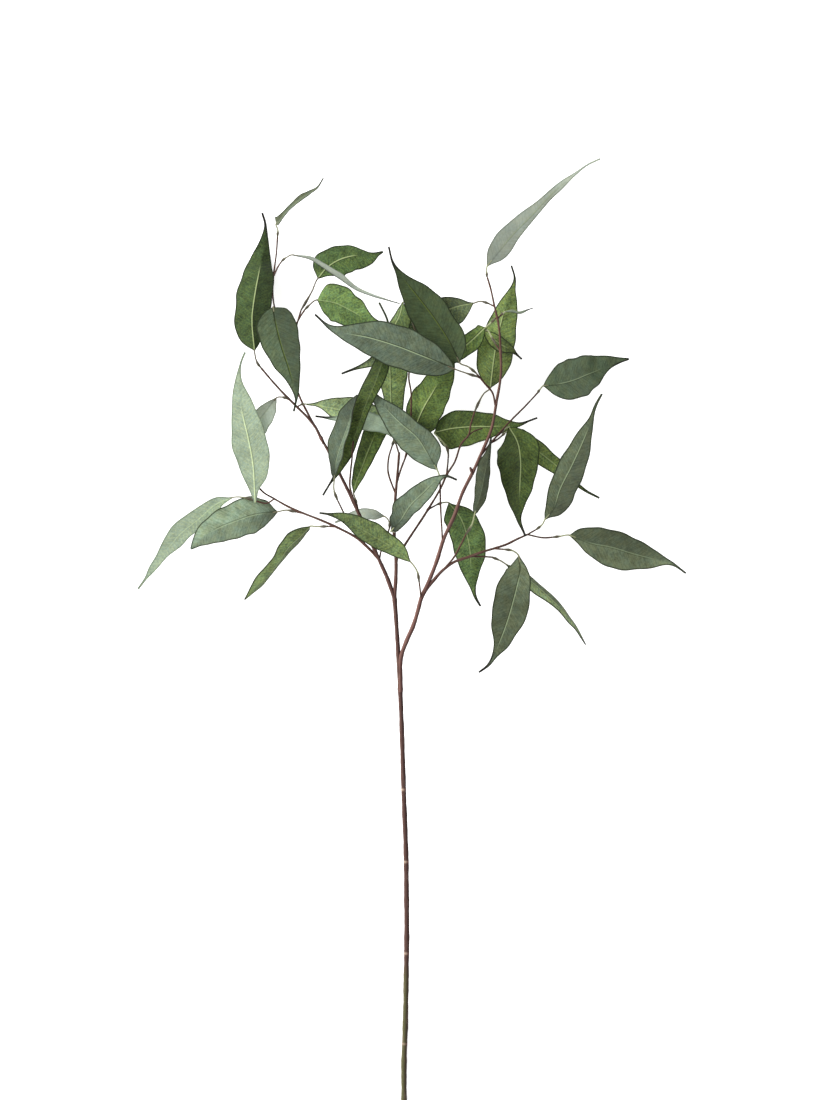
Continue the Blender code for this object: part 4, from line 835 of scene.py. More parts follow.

# Each leaf: its green, the brightness of its left and right half (its own colour and painted
# shade), of its stalk end and of its tip, how strongly its rib shows, how dark its drip tip is, and
# how pale its stalk is
LOOKS = {
    "leaf_01": ("leafy", 0.51, 0.26, 0.78, 0.72, 0.85, 1.0, 0.1),
    "leaf_02": ("sage", 0.72, 1.01, 1.00, 0.85, 0.2, 0.2, 0.6),
    "leaf_03": ("frosted", 2.95, 1.52, 0.80, 1.26, 0.5, 0.5, 0.25),
    "leaf_04": ("leafy", 0.66, 0.87, 1.03, 0.82, 0.9, 0.8, 0.1),
    "leaf_05": ("leafy", 1.26, 0.96, 1.07, 0.62, 0.35, 0.3, 0.1),
    "leaf_06": ("dull", 0.53, 0.94, 0.71, 1.01, -1.0, 0.5, 0.4),
    "leaf_07": ("silver", 2.24, 2.72, 1.00, 1.00, 0.9, 0.15, 0.5),
    "leaf_08": ("frosted", 4.46, 4.02, 0.40, 7.21, -0.6, 0.3, 0.1),
    "leaf_09": ("grey", 0.89, 1.03, 0.77, 1.26, 0.9, 0.9, 0.15),
    "leaf_10": ("silver", 2.97, 2.21, 1.10, 1.25, 0.3, 0.2, 0.4),
    "leaf_11": ("grey", 1.60, 2.55, 0.26, 0.84, 0.6, 0.25, 0.3),
    "leaf_12": ("moss", 0.87, 1.46, 0.53, 1.00, 0.3, 0.4, 0.6),
    "leaf_13": ("moss", 0.80, 0.91, 1.95, 0.80, 0.15, 0.7, 0.7),
    "leaf_14": ("frosted", 4.2, 4.8, 0.25, 1.00, 0.1, 0.2, 0.4),
    "leaf_15": ("grey", 0.86, 1.44, 0.27, 0.39, 0.45, 0.5, 0.4),
    "leaf_16": ("vivid", 0.71, 0.57, 0.46, 0.52, 0.12, 0.9, 0.4),
    "leaf_17": ("dull", 1.57, 2.36, 1.23, 0.74, 0.3, 0.4, 0.5),
    "leaf_18": ("grey", 1.52, 1.12, 1.01, 0.89, 0.6, 0.6, 0.9),
    "leaf_19": ("silver", 3.97, 4.61, 0.67, 0.7, 0.3, 1.0, 0.4),
    "leaf_20": ("vivid", 0.55, 1.02, 1.91, 0.62, 0.4, 0.5, 0.3),
    "leaf_21": ("moss", 1.39, 1.92, 0.55, 1.17, 0.6, 0.4, 0.4),
    "leaf_22": ("vivid", 1.27, 0.92, 0.03, 0.84, 0.9, 0.4, 0.4),
    "leaf_23": ("vivid", 0.61, 0.89, 0.75, 1.16, 0.7, 1.0, 1.0),
    "leaf_24": ("moss", 0.49, 0.48, 1.24, 0.66, -1.0, 1.0, 0.3),
    "leaf_25": ("dull", 1.65, 0.79, 0.67, 1.00, 0.5, 0.9, 0.2),
    "leaf_26": ("moss", 1.06, 1.51, 1.55, 0.90, 0.8, 0.3, 0.8),
    "leaf_28": ("fresh", 1.68, 1.20, 0.54, 0.48, 0.8, 0.8, 0.2),
    "leaf_29": ("vivid", 1.17, 1.33, 0.86, 1.00, 0.8, 0.4, 1.0),
    "leaf_30": ("fresh", 0.72, 0.72, 4.33, 0.06, 0.3, 1.0, 1.0),
    "leaf_31": ("silver", 1.42, 1.42, 1.20, 1.00, 0.3, 1.0, 1.0),
    "leaf_32": ("frosted", 2.23, 1.86, 0.74, 2.36, -0.75, 0.1, 0.8),
    "leaf_33": ("dull", 0.98, 0.86, 1.06, 0.56, 0.65, 0.9, 0.6),
    "leaf_34": ("sage", 1.05, 0.61, 0.77, 0.85, 0.7, 0.0, 0.8),
    "leaf_35": ("sage", 0.76, 1.20, 0.99, 1.90, 0.45, 0.4, 0.8),
    "leaf_36": ("sage", 0.83, 0.77, 1.69, 1.09, 0.8, 1.0, 0.6),
    "leaf_37": ("dull", 0.89, 1.93, 0.8, 0.92, 0.3, 0.4, 0.3),
    "leaf_38": ("leafy", 0.98, 1.03, 0.70, 0.76, 0.45, 1.0, 0.5),
    "leaf_39": ("sage", 0.57, 0.32, 1.12, 0.68, 0.15, 0.9, 0.9),
    "leaf_40": ("vivid", 0.54, 0.35, 1.01, 0.61, 0.55, 1.0, 0.7),
    "leaf_41": ("fresh", 1.03, 1.31, 1.00, 0.93, 0.4, 0.4, 0.8),
    "leaf_42": ("grey", 1.50, 1.39, 0.19, 1.50, 0.6, 0.9, 0.9),
}
print("leaves with a look:", len(LOOKS), "of", len(LEAVES))

# %% [markdown]
# ## Leaf finishes
#
# Both sides carry a printed net of veins. Every leaf keeps three vectors at each point: how far
# along the blade it lies and how wide that half is there, its distances along and across in
# millimetres, and the strength of its rib, edge and tip. Side veins are lines where the distance
# along less the distance from the rib passes a whole number of spacings. The net between them is
# the edge of a cell pattern. The rib's colour is added to the leaf's own, with painted shade as a
# dark line on one side of it. All lines are weaker on the palest leaves.

# %% Where a point lies on its leaf, and how strong each line is there
VEIN_SPACING = 4.6
VEIN_SLANT = 0.8
VEIN_WAVER = 3.0
VEIN_WAVER_SCALE = 0.25
NET_SCALE = 0.34
NET_WIDTH = 0.14
STREAK_SCALES = (0.75, 0.14)
FLECK_SCALE = 0.55


def leaf_marks(tree):
    """Where the point is on the leaf, and how strong each printed line is there."""
    reach = attribute_of(tree, "leaf_reach", 1)
    vectors = (attribute_of(tree, "leaf_place", 1), reach, attribute_of(tree, "leaf_marks", 1))
    place_row, reach_row, mark_row = (
        add_node(tree, "ShaderNodeSeparateXYZ", {0: vector}).outputs[:3] for vector in vectors)
    far, off, _ = reach_row
    from_rib = sum_of(tree, "ABSOLUTE", off)
    waver = product_of(tree, noise_of(tree, reach, VEIN_WAVER_SCALE, 2.0), VEIN_WAVER)
    slanted = sum_of(tree, "SUBTRACT", far, product_of(tree, from_rib, VEIN_SLANT))
    turn = sum_of(tree, "FRACT", sum_of(tree, "DIVIDE", sum_of(tree, "ADD", slanted, waver),
                                        VEIN_SPACING))
    from_vein = sum_of(tree, "ABSOLUTE", sum_of(tree, "SUBTRACT", turn, 0.5))
    cells = add_node(tree, "ShaderNodeTexVoronoi", {"Vector": reach, "Scale": NET_SCALE},
                     feature="DISTANCE_TO_EDGE").outputs["Distance"]
    streak = add_node(tree, "ShaderNodeCombineXYZ",
                      {0: product_of(tree, slanted, STREAK_SCALES[0]),
                       1: product_of(tree, off, STREAK_SCALES[1])}).outputs[0]
    return {"reach": reach, "streak": streak, "along": place_row[0], "half": place_row[1],
            "off": off, "from_rib": from_rib,
            "inside": sum_of(tree, "SUBTRACT", place_row[1], from_rib),
            "rib": mark_row[0], "edge": mark_row[1], "tip": mark_row[2],
            "veins": step_of(tree, from_vein, 0.02, 0.16, 1.0, 0.0),
            "net": step_of(tree, cells, 0.0, NET_WIDTH, 1.0, 0.0),
            "flecks": noise_of(tree, reach, FLECK_SCALE, 3.0)}


print("veins every", VEIN_SPACING, "mm")

# %% [markdown]
# ## The green between the lines
#
# A leaf is never one flat green. A painted image would need an unwrapped mesh and a file. Noises
# read at the leaf's own distances do without both. Three of them make the green lighter and
# darker in patches, flecks and streaks, and a fourth makes it slightly warmer and cooler.

# %% Mottled green
PATCH_SCALE = 0.09
HUE_SCALE = 0.14
COOL_TINT = (0.96, 1.0, 1.05, 1.0)
WARM_TINT = (1.04, 1.0, 0.93, 1.0)


def mottled_green(tree, m, mottle):
    """The leaf's own colour, lighter and darker by three noises, warmer and cooler by a fourth."""
    patterns = (noise_of(tree, m["reach"], PATCH_SCALE, 2.0), m["flecks"],
                noise_of(tree, m["streak"], 1.0, 2.0))
    light = 1.0
    for pattern, depth in zip(patterns, mottle):
        swing = step_of(tree, pattern, 0.3, 0.7, -depth, depth)
        light = sum_of(tree, "ADD", light, product_of(tree, swing, m["edge"]))
    grey = add_node(tree, "ShaderNodeCombineColor", {0: light, 1: light, 2: light}).outputs[0]
    colour = mix_of(tree, 1.0, attribute_of(tree, "leaf_colour", 0), grey, "MULTIPLY")
    hue = step_of(tree, noise_of(tree, m["reach"], HUE_SCALE, 3.0), 0.38, 0.62)
    return mix_of(tree, m["edge"], colour, mix_of(tree, hue, COOL_TINT, WARM_TINT), "MULTIPLY")


print("patches about", round(1 / PATCH_SCALE), "mm wide")

# %% [markdown]
# ## Rib, rim and tip
#
# The rib shows as a pale line even in flat light, so a colour is added to the green along it. A
# thin dark line of painted shade lies on one side, where the raised rib would shade the blade. The
# blade's edge is darker, and so is the long drip tip of most leaves. Each is a soft step of a
# distance in millimetres, so a line is as wide on a small leaf as on a large one.

# %% Rib line, rim line and dark tip
RIB_SHADE_PLACE = 1.6

# OLIVE_LINE takes the place of a side's rib colour where a leaf's rib mark is negative
# The dark line colour is both the printed line inside the rim and the painted shade beside the rib
RIM_PRINT_AND_RIB_SHADE = (0.012, 0.018, 0.006, 1.0)
OLIVE_LINE = (0.050, 0.068, 0.004, 1.0)
DARK_TIP = (0.012, 0.011, 0.008, 1.0)


def with_rib(tree, m, colour, rib_colour, line_half, rib_reach):
    """The rib's line added to the colour, and painted shade as a dark line on one side of it.

    Along the leaf the line comes in between the first two numbers of rib_reach and goes out
    between the last two.
    """
    outer = step_of(tree, m["along"], rib_reach[2], rib_reach[3], 1.0, 0.0)
    strength = product_of(tree, sum_of(tree, "ABSOLUTE", m["rib"]), outer)
    # Painted shade: a dark line beside the raised rib, on one side of it only.
    from_rib_shade = sum_of(tree, "SUBTRACT", m["off"], RIB_SHADE_PLACE * line_half)
    beside = step_of(tree, sum_of(tree, "ABSOLUTE", from_rib_shade), 0.35, 1.1, 0.85, 0.0)
    rib_shade = product_of(tree, beside, m["edge"], strength)
    colour = mix_of(tree, rib_shade, colour, RIM_PRINT_AND_RIB_SHADE)
    line = step_of(tree, m["from_rib"], line_half, 2.0 * line_half, 0.9, 0.0)
    inner = step_of(tree, m["along"], rib_reach[0], rib_reach[1])
    line_colour = mix_of(tree, step_of(tree, m["rib"], -0.05, 0.05), OLIVE_LINE, rib_colour)
    return mix_of(tree, product_of(tree, line, strength, inner), colour, line_colour, "ADD")


def with_rim_and_tip(tree, m, colour):
    """A dark line just inside the edge, and a dark drip tip where the blade is narrow."""
    rim_line = product_of(tree, step_of(tree, m["inside"], 0.5, 1.9, 0.9, 0.0), m["edge"])
    colour = mix_of(tree, rim_line, colour, RIM_PRINT_AND_RIB_SHADE)
    narrow = step_of(tree, m["half"], 1.1, 3.2, 1.0, 0.0)
    outer = step_of(tree, m["along"], 0.68, 0.78)
    return mix_of(tree, product_of(tree, narrow, outer, m["tip"]), colour, DARK_TIP)


print("the crease lies", RIB_SHADE_PLACE, "half line widths from the rib")

# %% [markdown]
# ## The two sides of a leaf
#
# The upper side has dark veins and the under side pale ones and a paler rib. Both are the same
# chain of nodes with other numbers, so one function builds them.

# %% Upper and under side
LEAF_SHEEN = 0.10
LEAF_BUMP = 0.0003


def leaf_finish(name, mottle, vein_tint, vein_share, net_share, rib_colour, line_half, rib_reach):
    """A leaf side: mottled green, veins and net, the rib's line, a dark edge and a dark tip."""
    material, tree, shader = new_finish(name)
    m = leaf_marks(tree)
    colour = mottled_green(tree, m, mottle)
    tinted = mix_of(tree, 1.0, colour, vein_tint, "MULTIPLY")
    for lines, share in ((m["veins"], vein_share), (m["net"], net_share)):
        colour = mix_of(tree, product_of(tree, lines, share, m["edge"]), colour, tinted)
    colour = with_rib(tree, m, colour, rib_colour, line_half, rib_reach)
    colour = with_rim_and_tip(tree, m, colour)
    tree.links.new(colour, shader.inputs["Base Color"])
    shader.inputs["Specular IOR Level"].default_value = LEAF_SHEEN
    tree.links.new(step_of(tree, m["flecks"], 0.3, 0.7, 0.47, 0.63), shader.inputs["Roughness"])
    height = sum_of(tree, "ADD", product_of(tree, m["veins"], 0.6),
                    product_of(tree, m["flecks"], 0.8))
    bump = add_node(tree, "ShaderNodeBump",
                    {"Height": height, "Strength": 0.5, "Distance": LEAF_BUMP})
    tree.links.new(bump.outputs[0], shader.inputs["Normal"])
    return material


upper_side = leaf_finish(
    "leaf_upper_side", mottle=(0.16, 0.15, 0.15), vein_tint=(0.68, 0.77, 0.66, 1.0),
    vein_share=0.55, net_share=0.2, rib_colour=(0.26, 0.32, 0.19, 1.0), line_half=0.30,
    rib_reach=(0.08, 0.22, 0.60, 0.78))
under_side = leaf_finish(
    "leaf_under_side", mottle=(0.22, 0.32, 0.18), vein_tint=(1.85, 1.65, 1.05, 1.0),
    vein_share=0.5, net_share=0.45, rib_colour=(0.36, 0.42, 0.20, 1.0), line_half=0.36,
    rib_reach=(-0.1, 0.0, 0.5, 0.68))
print("leaf sides:", len(upper_side.node_tree.nodes), "nodes each")

# %% [markdown]
# ## Rim and stalk
#
# The cut edge of a blade is a thin dark line. A stalk starts at the twig with a brown-green
# swelling and thins to a pale or dark green thread. Its colour is again kept per point.

# %% Rim and stalk finishes
RIM_GREEN = (0.022, 0.026, 0.015, 1.0)
RIM_SPECKS = (0.0132, 0.0156, 0.009, 1.0)
STALK_BROWN = (0.05, 0.035, 0.018, 1.0)


def rim_finish():
    """A dark green with a fine speckle."""
    material, tree, shader = new_finish("leaf_rim")
    here = add_node(tree, "ShaderNodeTexCoord", {}).outputs["Object"]
    specks = noise_of(tree, here, 900.0, 2.0)
    tree.links.new(mix_of(tree, specks, RIM_GREEN, RIM_SPECKS), shader.inputs["Base Color"])
    shader.inputs["Roughness"].default_value = 0.6
    return material


def stalk_finish():
    """The stalk's own colour per point, with a fine brown mottle."""
    material, tree, shader = new_finish("leaf_stalk")
    mottle = noise_of(tree, attribute_of(tree, "leaf_reach", 1), 1.2, 3.0)
    brown = step_of(tree, mottle, 0.4, 0.7, 0.0, 0.55)
    colour = mix_of(tree, brown, attribute_of(tree, "leaf_colour", 0), STALK_BROWN)
    tree.links.new(colour, shader.inputs["Base Color"])
    shader.inputs["Roughness"].default_value = 0.5
    return material


rim = rim_finish()
stalk_skin = stalk_finish()
print("finishes:", [m.name for m in (upper_side, under_side, rim, stalk_skin)])

# %% [markdown]
# ## The blade
#
# A blade is a function of two numbers: how far along the rib, and how far across. Along, the half
# width on each side is a smooth line through the outline's nine places, and it ends as a long
# thin drip tip. Across, the sheet bends up from the rib like a shallow V with a soft foot, and
# its edges wave.

# %% Half widths, waves and the cross-section
LEAF_STATIONS = np.concatenate([np.linspace(0, 0.1, 14)[:-1], np.linspace(0.1, 0.9, 44),
                                np.linspace(0.9, 1, 9)[1:]])
LEAF_ROWS = len(LEAF_STATIONS)

# Columns beside the rib, each as (millimetres, greatest share of the half), and shares farther out
RIB_COLUMNS = ((0.40, 0.06), (0.85, 0.13), (1.6, 0.22))
OUTER_COLUMNS = (0.36, 0.5, 0.64, 0.77, 0.88, 0.96, 1.0)
FOLD_FOOT = 1.5
RIPPLE_SHARE = 0.010
RIPPLES_PER_WAVE = 3.1
RIPPLE_SHIFT = 0.3


def half_widths(name, t, start):
    """How far the blade reaches left and right of its rib at t.

    Each is a smooth line through the leaf's row of OUTLINES, never less than the drip tip.
    """
    places = np.array([0.0, *OUTLINE_PLACES, 1.0])
    return [np.maximum(cubic_through(places, np.array([start, *row, TIP_HALF_WIDTH]), t),
                       TIP_HALF_WIDTH) for row in OUTLINES[name]]


def across_places(half_left, half_right):
    """Distances from the rib, left to right: close together at the rib, then shares of a half."""
    near = np.array([mm for mm, _ in RIB_COLUMNS])
    shares = np.array([share for _, share in RIB_COLUMNS])
    sides = []
    for half in (half_left[:, None], half_right[:, None]):
        sides.append(np.hstack([np.minimum(near, shares * half), np.array(OUTER_COLUMNS) * half]))
    middle = np.zeros((len(half_left), 1))
    return np.hstack([-sides[0][:, ::-1], middle, sides[1]])


def leaf_ways(path, midrib, roll, t):
    """Sideways and upward directions along the rib, turned by the leaf's roll about it."""
    tangent = unit(np.gradient(path, axis=0))
    ahead = np.subtract(midrib[-1], midrib[0])
    level = np.array([ahead[1], -ahead[0], 0.0]) / math.hypot(ahead[0], ahead[1])
    sideways = unit(level - (tangent @ level)[:, None] * tangent)
    upward = np.cross(sideways, tangent)
    turn = np.radians(roll[0] + (roll[1] - roll[0]) * t)[:, None]
    return (sideways * np.cos(turn) + upward * np.sin(turn),
            upward * np.cos(turn) - sideways * np.sin(turn))


def leaf_lift(across, half, t, side, number):
    """How far the sheet rises at each distance across.

    A soft V, fold * (sqrt(across ** 2 + foot ** 2) - foot), plus a sine along the leaf whose
    height grows towards the edge, plus a finer ripple.
    """
    fold = math.tan(math.radians(FOLD_DEGREES)) * (1 if side == "upper" else -1)
    edge = np.sign(across)
    share = np.abs(across) / half
    turns = WAVES_PER_BLADE * t[:, None] + WAVE_SHIFT * number + WAVE_OFFSET * edge
    wave = 2 * WAVE_SHARE * half * share**1.4 * np.sin(2 * math.pi * turns)
    ripples = RIPPLES_PER_WAVE * turns + RIPPLE_SHIFT * number
    ripple = RIPPLE_SHARE * half * share**2 * np.sin(2 * math.pi * ripples)
    return fold * (np.sqrt(across**2 + FOLD_FOOT**2) - FOLD_FOOT) + wave + ripple


print("columns across a blade:", 2 * (len(RIB_COLUMNS) + len(OUTER_COLUMNS)) + 1)

# %% [markdown]
# ## The blade's closed skin
#
# One sheet would have no thickness and no under side of its own. A Solidify modifier could add
# them, but the rib stands out on one side and is a groove on the other. So both sheets are worked
# out, less than a millimetre apart, and joined at the rims. Where a blade meets the table it is
# pressed flat. Each point gets its colour and its places for the veins, each face its finish.

# %% The closed skin of a blade
RIB_HEIGHT = 0.45
GROOVE_DEPTH = 0.25
RIB_HALF = 0.8
RIB_END = 0.85
RIB_FADE = 0.4
THIN_EDGE = 0.5
EDGE_WOBBLE = 0.022
WOBBLES_PER_BLADE = 5.3
WOBBLE_SHIFT = 0.37
WOBBLE_OFFSETS = np.array([0.0, 0.41])
HALF_BLEND = 1.2
BRIGHTNESS_PLACES = (0.0, 0.35, 0.6, 1.0)
PALE_EDGE_MARK = 0.45
NOISE_SHIFT = 41.3


def blade_sheets(path, across, own_half, row, number):
    """The blade's top and bottom sheet: grids of points, kept above the table."""
    _, side, roll, _, _, midrib = row
    t = LEAF_STATIONS
    sideways, upward = leaf_ways(path, midrib, roll, t)
    lift = leaf_lift(across, own_half, t, side, number)
    fade = np.clip((RIB_END - t) / RIB_FADE, 0, 1)[:, None]
    bead = np.exp(-(across / RIB_HALF)**2) * fade
    thickness = BLADE_THICKNESS / 2 * (1 - (1 - THIN_EDGE) * np.abs(across / own_half)**3)
    top = lift + thickness + (RIB_HEIGHT if side == "under" else -GROOVE_DEPTH) * bead
    bottom = lift - thickness - (RIB_HEIGHT if side == "upper" else -GROOVE_DEPTH) * bead
    sheets = []
    for height, floor in ((top, BLADE_THICKNESS), (bottom, 0.0)):
        sheet = (path[:, None] + across[..., None] * sideways[:, None]
                 + height[..., None] * upward[:, None])
        sheet[..., 2] = np.maximum(sheet[..., 2], floor)
        sheets.append(sheet)
    return sheets


def round_skin(values):
    """One value for each point round the skin: out along the top, back along the bottom."""
    return np.concatenate([values, values[:, ::-1]], axis=1).reshape(-1)


def blade_colours(across, look):
    """The leaf's green times a brightness for its left or right half (own colour and painted
    shade), stalk end and tip.
    """
    green, left_tone_and_shade, right_tone_and_shade, base, tip = look[:5]
    # The halves' brightness is partly the leaf's own colour and partly painted shade of the fold.
    to_right = 0.5 + 0.5 * np.tanh(across / HALF_BLEND)
    halves = left_tone_and_shade + (right_tone_and_shade - left_tone_and_shade) * to_right
    ends = np.interp(LEAF_STATIONS, BRIGHTNESS_PLACES, (base, 1.0, 1.0, tip))[:, None]
    bright = round_skin(halves * ends)
    return np.column_stack([bright[:, None] * np.array(GREENS[green]), np.ones(len(bright))])


def blade_slots(side, columns, faces):
    """Each face's finish: 0 is the upper side, 1 the under side, 2 the rim and both ends."""
    column = np.arange(2 * columns)
    top_slot, bottom_slot = (0, 1) if side == "upper" else (1, 0)
    by_column = np.where(column < columns, top_slot, bottom_slot)
    by_column[[columns - 1, 2 * columns - 1]] = 2
    round_faces = np.tile(by_column, LEAF_ROWS - 1)
    return np.concatenate([round_faces, np.full(faces - len(round_faces), 2)])


def blade_shell(row, number, look):
    """The closed skin of one blade, with its colours and its places for the veins."""
    name, side, _, _, stalk, midrib = row
    t = LEAF_STATIONS
    path = smooth_path(midrib, t)
    halves = half_widths(name, t, STALK_RADIUS if stalk else TIP_HALF_WIDTH)
    wobble = EDGE_WOBBLE * np.sin(2 * math.pi * (WOBBLES_PER_BLADE * t[:, None]
                                                 + WOBBLE_SHIFT * number + WOBBLE_OFFSETS))
    left, right = (half * (1 + wobble[:, k]) for k, half in enumerate(halves))
    across = across_places(left, right)
    own_half = np.where(across < 0, left[:, None], right[:, None])
    top, bottom = blade_sheets(path, across, own_half, row, number)
    points = np.concatenate([top, bottom[:, ::-1]], axis=1).reshape(-1, 3)
    columns = across.shape[1]
    quads = np.concatenate([ring_faces(LEAF_ROWS, 2 * columns), end_faces(LEAF_ROWS, 2 * columns)])
    along = round_skin(np.broadcast_to(t[:, None], across.shape))
    far = round_skin(np.broadcast_to(run_of(path)[:, None], across.shape))
    one = np.ones(len(points))
    edge_mark = PALE_EDGE_MARK if look[0] in PALE_GREENS else 1.0
    return {"points": points, "quads": quads, "slots": blade_slots(side, columns, len(quads)),
            "marks": {"leaf_colour": blade_colours(across, look),
                      "leaf_place": np.column_stack([along, round_skin(own_half), 0 * one]),
                      "leaf_reach": np.column_stack([far, round_skin(across),
                                                     NOISE_SHIFT * number * one]),
                      "leaf_marks": np.column_stack([look[5] * one, edge_mark * one,
                                                     look[6] * one])}}


trial = blade_shell(LEAVES[0], 0, LOOKS["leaf_01"])
print("a blade:", len(trial["points"]), "points,", len(trial["quads"]), "quads")

# %% [markdown]
# ## The stalk
#
# A stalk leaves the twig from a short sleeve, swells, thins and runs into the blade's rib. It is
# the same tube as the wood's, with its radius read from a short row of values.

# %% Stalks
STALK_SIDES = 14
STALK_ROWS = 34
STALK_SQUASH = 0.06
SLEEVE = 0.9
BLADE_FOOT = (0.0, 0.015, 0.05)
STALK_DOME = 0.5
LEAST_STALK_DOME = 0.05

# Shares of the stalk's length and its radius there: sleeve, swelling, thread, and the blade's foot
STALK_GIRTH = ((0.0, 0.10, 0.24, 0.34, 0.50, 0.9, 1.0, 1.4),
               (0.95, 1.05, 1.60, 1.30, 0.76, 0.72, 0.85, 0.42))
SWELLING_GREEN = np.array([0.040, 0.034, 0.016])
DARK_STALK = np.array([0.058, 0.030, 0.018])
PALE_STALK = np.array([0.32, 0.36, 0.19])
PALE_SWELLING = 0.8
THREAD_FROM = 0.32
THREAD_FADE = 0.15
MOTTLE_ALONG = 0.3
MOTTLE_SHIFT = 9.1


def stalk_shell(row, number, look):
    """One stalk: from just over the twig's end, through its bends, into the blade's foot.

    The radius follows straight lines between the pairs of STALK_GIRTH.
    """
    _, _, _, twig, stalk, midrib = row
    foot = smooth_path(midrib, BLADE_FOOT)
    route = np.array([twig[-1], *stalk, *foot], dtype=float)
    first = unit(route[1:2] - route[:1])
    route[0] -= SLEEVE * first[0]
    path = smooth_path(route, np.linspace(0, 1, STALK_ROWS))
    run = run_of(path)
    reach_of_foot = np.linalg.norm(foot[2] - foot[0])
    share = run / (run[-1] - reach_of_foot)
    radii = np.interp(share, *STALK_GIRTH)
    dome = np.clip(np.minimum(run, run[-1] - run) / STALK_DOME, LEAST_STALK_DOME, 1)
    radii = radii * np.sqrt(1 - (1 - dome)**2)
    grid = tube(path, radii, STALK_SIDES, STALK_SQUASH)
    pale = look[7]
    thread = DARK_STALK + pale * (PALE_STALK - DARK_STALK)
    weight = np.clip((share - THREAD_FROM) / THREAD_FADE, 0, 1)[:, None]
    swelling = SWELLING_GREEN * (1 + PALE_SWELLING * pale)
    colour = swelling + weight * (thread - SWELLING_GREEN)
    colours = np.repeat(np.column_stack([colour, np.ones(STALK_ROWS)]), STALK_SIDES, axis=0)
    angle = np.arange(STALK_SIDES) * 2 * math.pi / STALK_SIDES
    reach = np.empty(grid.shape)
    reach[..., 0] = MOTTLE_ALONG * run[:, None] + MOTTLE_SHIFT * number
    reach[..., 1] = np.cos(angle)
    reach[..., 2] = np.sin(angle)
    quads = np.concatenate([ring_faces(STALK_ROWS, STALK_SIDES),
                            end_faces(STALK_ROWS, STALK_SIDES)])
    blank = np.zeros((len(colours), 3))
    return {"points": grid.reshape(-1, 3), "quads": quads, "slots": np.full(len(quads), 3),
            "marks": {"leaf_colour": colours, "leaf_place": blank,
                      "leaf_reach": reach.reshape(-1, 3), "leaf_marks": blank}}


print("stalks with", STALK_ROWS, "rings of", STALK_SIDES, "points")

# %% [markdown]
# ## All leaves
#
# Each row of the leaves' table now becomes one object: a blade, and a stalk where one shows. All
# share four finishes, and only the numbers kept per point differ from leaf to leaf.

# %% Build every leaf
faces = 0
for number, row in enumerate(LEAVES):
    look = LOOKS[row[0]]
    parts = [blade_shell(row, number, look)]
    if row[4] is not None:
        parts.append(stalk_shell(row, number, look))
    leaf = make_piece(row[0] + "_dressed", parts, [upper_side, under_side, rim, stalk_skin],
                      [row[0]])
    faces += len(leaf.data.polygons)
print("leaves:", len(LEAVES), "pieces,", faces, "faces")

# %% [markdown]
# ## Table
#
# The picture is high-key: the table is so bright that the shadows of the raised leaves nearly
# vanish. A lamp alone would have to bleach the leaves for that, so the table glows faintly itself.

# %% Table
TABLE_GLOW = 0.54
TABLE_HALF = 4.0
GRAIN_COLOURS = ((0.93, 0.93, 0.93, 1.0), (0.95, 0.95, 0.95, 1.0))


def table_finish():
    """A near-white matt surface with the faintest grain."""
    material, tree, shader = new_finish("table_top")
    here = add_node(tree, "ShaderNodeTexCoord", {}).outputs["Object"]
    grain = noise_of(tree, here, 60.0, 3.0)
    tree.links.new(mix_of(tree, grain, *GRAIN_COLOURS), shader.inputs["Base Color"])
    shader.inputs["Roughness"].default_value = 0.8
    shader.inputs["Emission Color"].default_value = (1.0, 1.0, 1.0, 1.0)
    shader.inputs["Emission Strength"].default_value = TABLE_GLOW
    return material


corners = np.array([(-1, -1, 0), (1, -1, 0), (1, 1, 0), (-1, 1, 0)]) * TABLE_HALF
table_mesh = bpy.data.meshes.new("table")
table_mesh.from_pydata(corners.tolist(), [], [(0, 1, 2, 3)])
table_mesh.materials.append(table_finish())
table = bpy.data.objects.new("table", table_mesh)
bpy.context.scene.collection.objects.link(table)
print("table:", 2 * TABLE_HALF, "m square")

# %% [markdown]
# ## Light
#
# A white world gives even light, and one large soft lamp from the upper left gives the leaves a
# little shape. A small lamp would draw hard shadows, which the picture doesn't have.

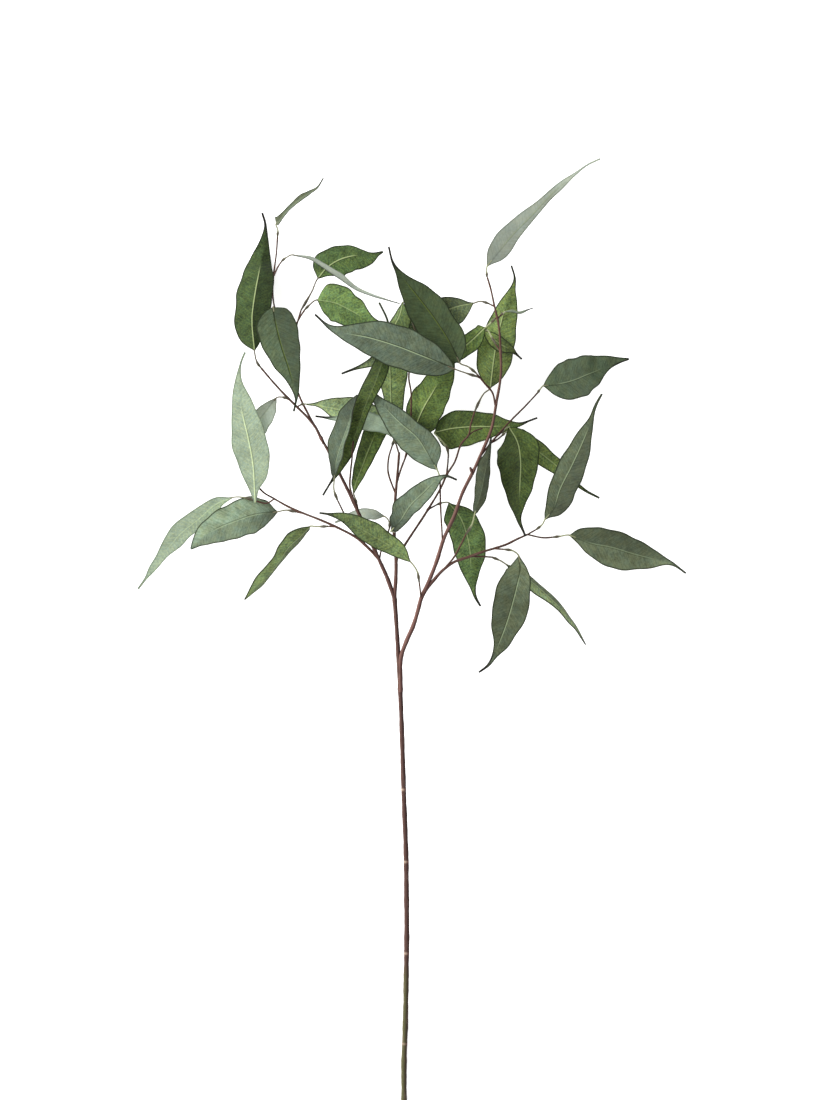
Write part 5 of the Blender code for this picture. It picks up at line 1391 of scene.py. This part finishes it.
# %% Light
WORLD_STRENGTH = 0.82
LAMP_WATTS = 58.0
LAMP_SIZE = 1.5
LAMP_PLACE = (-1.6, 0.9, 1.9)

world = bpy.data.worlds.new("studio")
world.use_nodes = True
world.node_tree.nodes["Background"].inputs[0].default_value = (1.0, 1.0, 1.0, 1.0)
world.node_tree.nodes["Background"].inputs[1].default_value = WORLD_STRENGTH
bpy.context.scene.world = world
lamp_data = bpy.data.lights.new("softbox", "AREA")
lamp_data.energy = LAMP_WATTS
lamp_data.size = LAMP_SIZE
lamp = bpy.data.objects.new("softbox", lamp_data)
bpy.context.scene.collection.objects.link(lamp)
lamp.location = LAMP_PLACE
towards = -np.array(LAMP_PLACE)
lamp.rotation_euler = (math.atan2(math.hypot(towards[0], towards[1]), -towards[2]), 0.0,
                       math.atan2(towards[1], towards[0]) - math.pi / 2)
bpy.context.scene.view_settings.view_transform = "Standard"
print("world", WORLD_STRENGTH, "lamp", LAMP_WATTS, "W")

# %% [markdown]
# ## Camera
#
# The camera looks straight down from far away through a long lens, so a leaf that is higher looks
# hardly larger and the sizes on the table are the sizes in the picture.

# %% Camera
PICTURE = (825.0, 1100.0)
LENS = 800.0
SENSOR = 36.0
FOCUS_HEIGHT = 60.0
STEM_COLUMN = 404.0
FARTHEST_SEEN = 60.0

camera_data = bpy.data.cameras.new("camera")
camera_data.lens = LENS
camera_data.sensor_fit = "VERTICAL"
camera_data.sensor_height = SENSOR
camera_data.clip_end = FARTHEST_SEEN
camera = bpy.data.objects.new("camera", camera_data)
bpy.context.scene.collection.objects.link(camera)
middle_of_picture = place((PICTURE[0] / 2 - STEM_COLUMN, PICTURE[1] / 2, FOCUS_HEIGHT))
distance = PICTURE[1] * MM * LENS / SENSOR
camera.location = middle_of_picture + np.array([0.0, 0.0, distance])
bpy.context.scene.camera = camera
print("camera", round(distance, 2), "m above the table's middle")

# %% [markdown]
# ## The last call
#
# The last line brings the view layer up to date.

# %% Finish
bpy.context.view_layer.update()
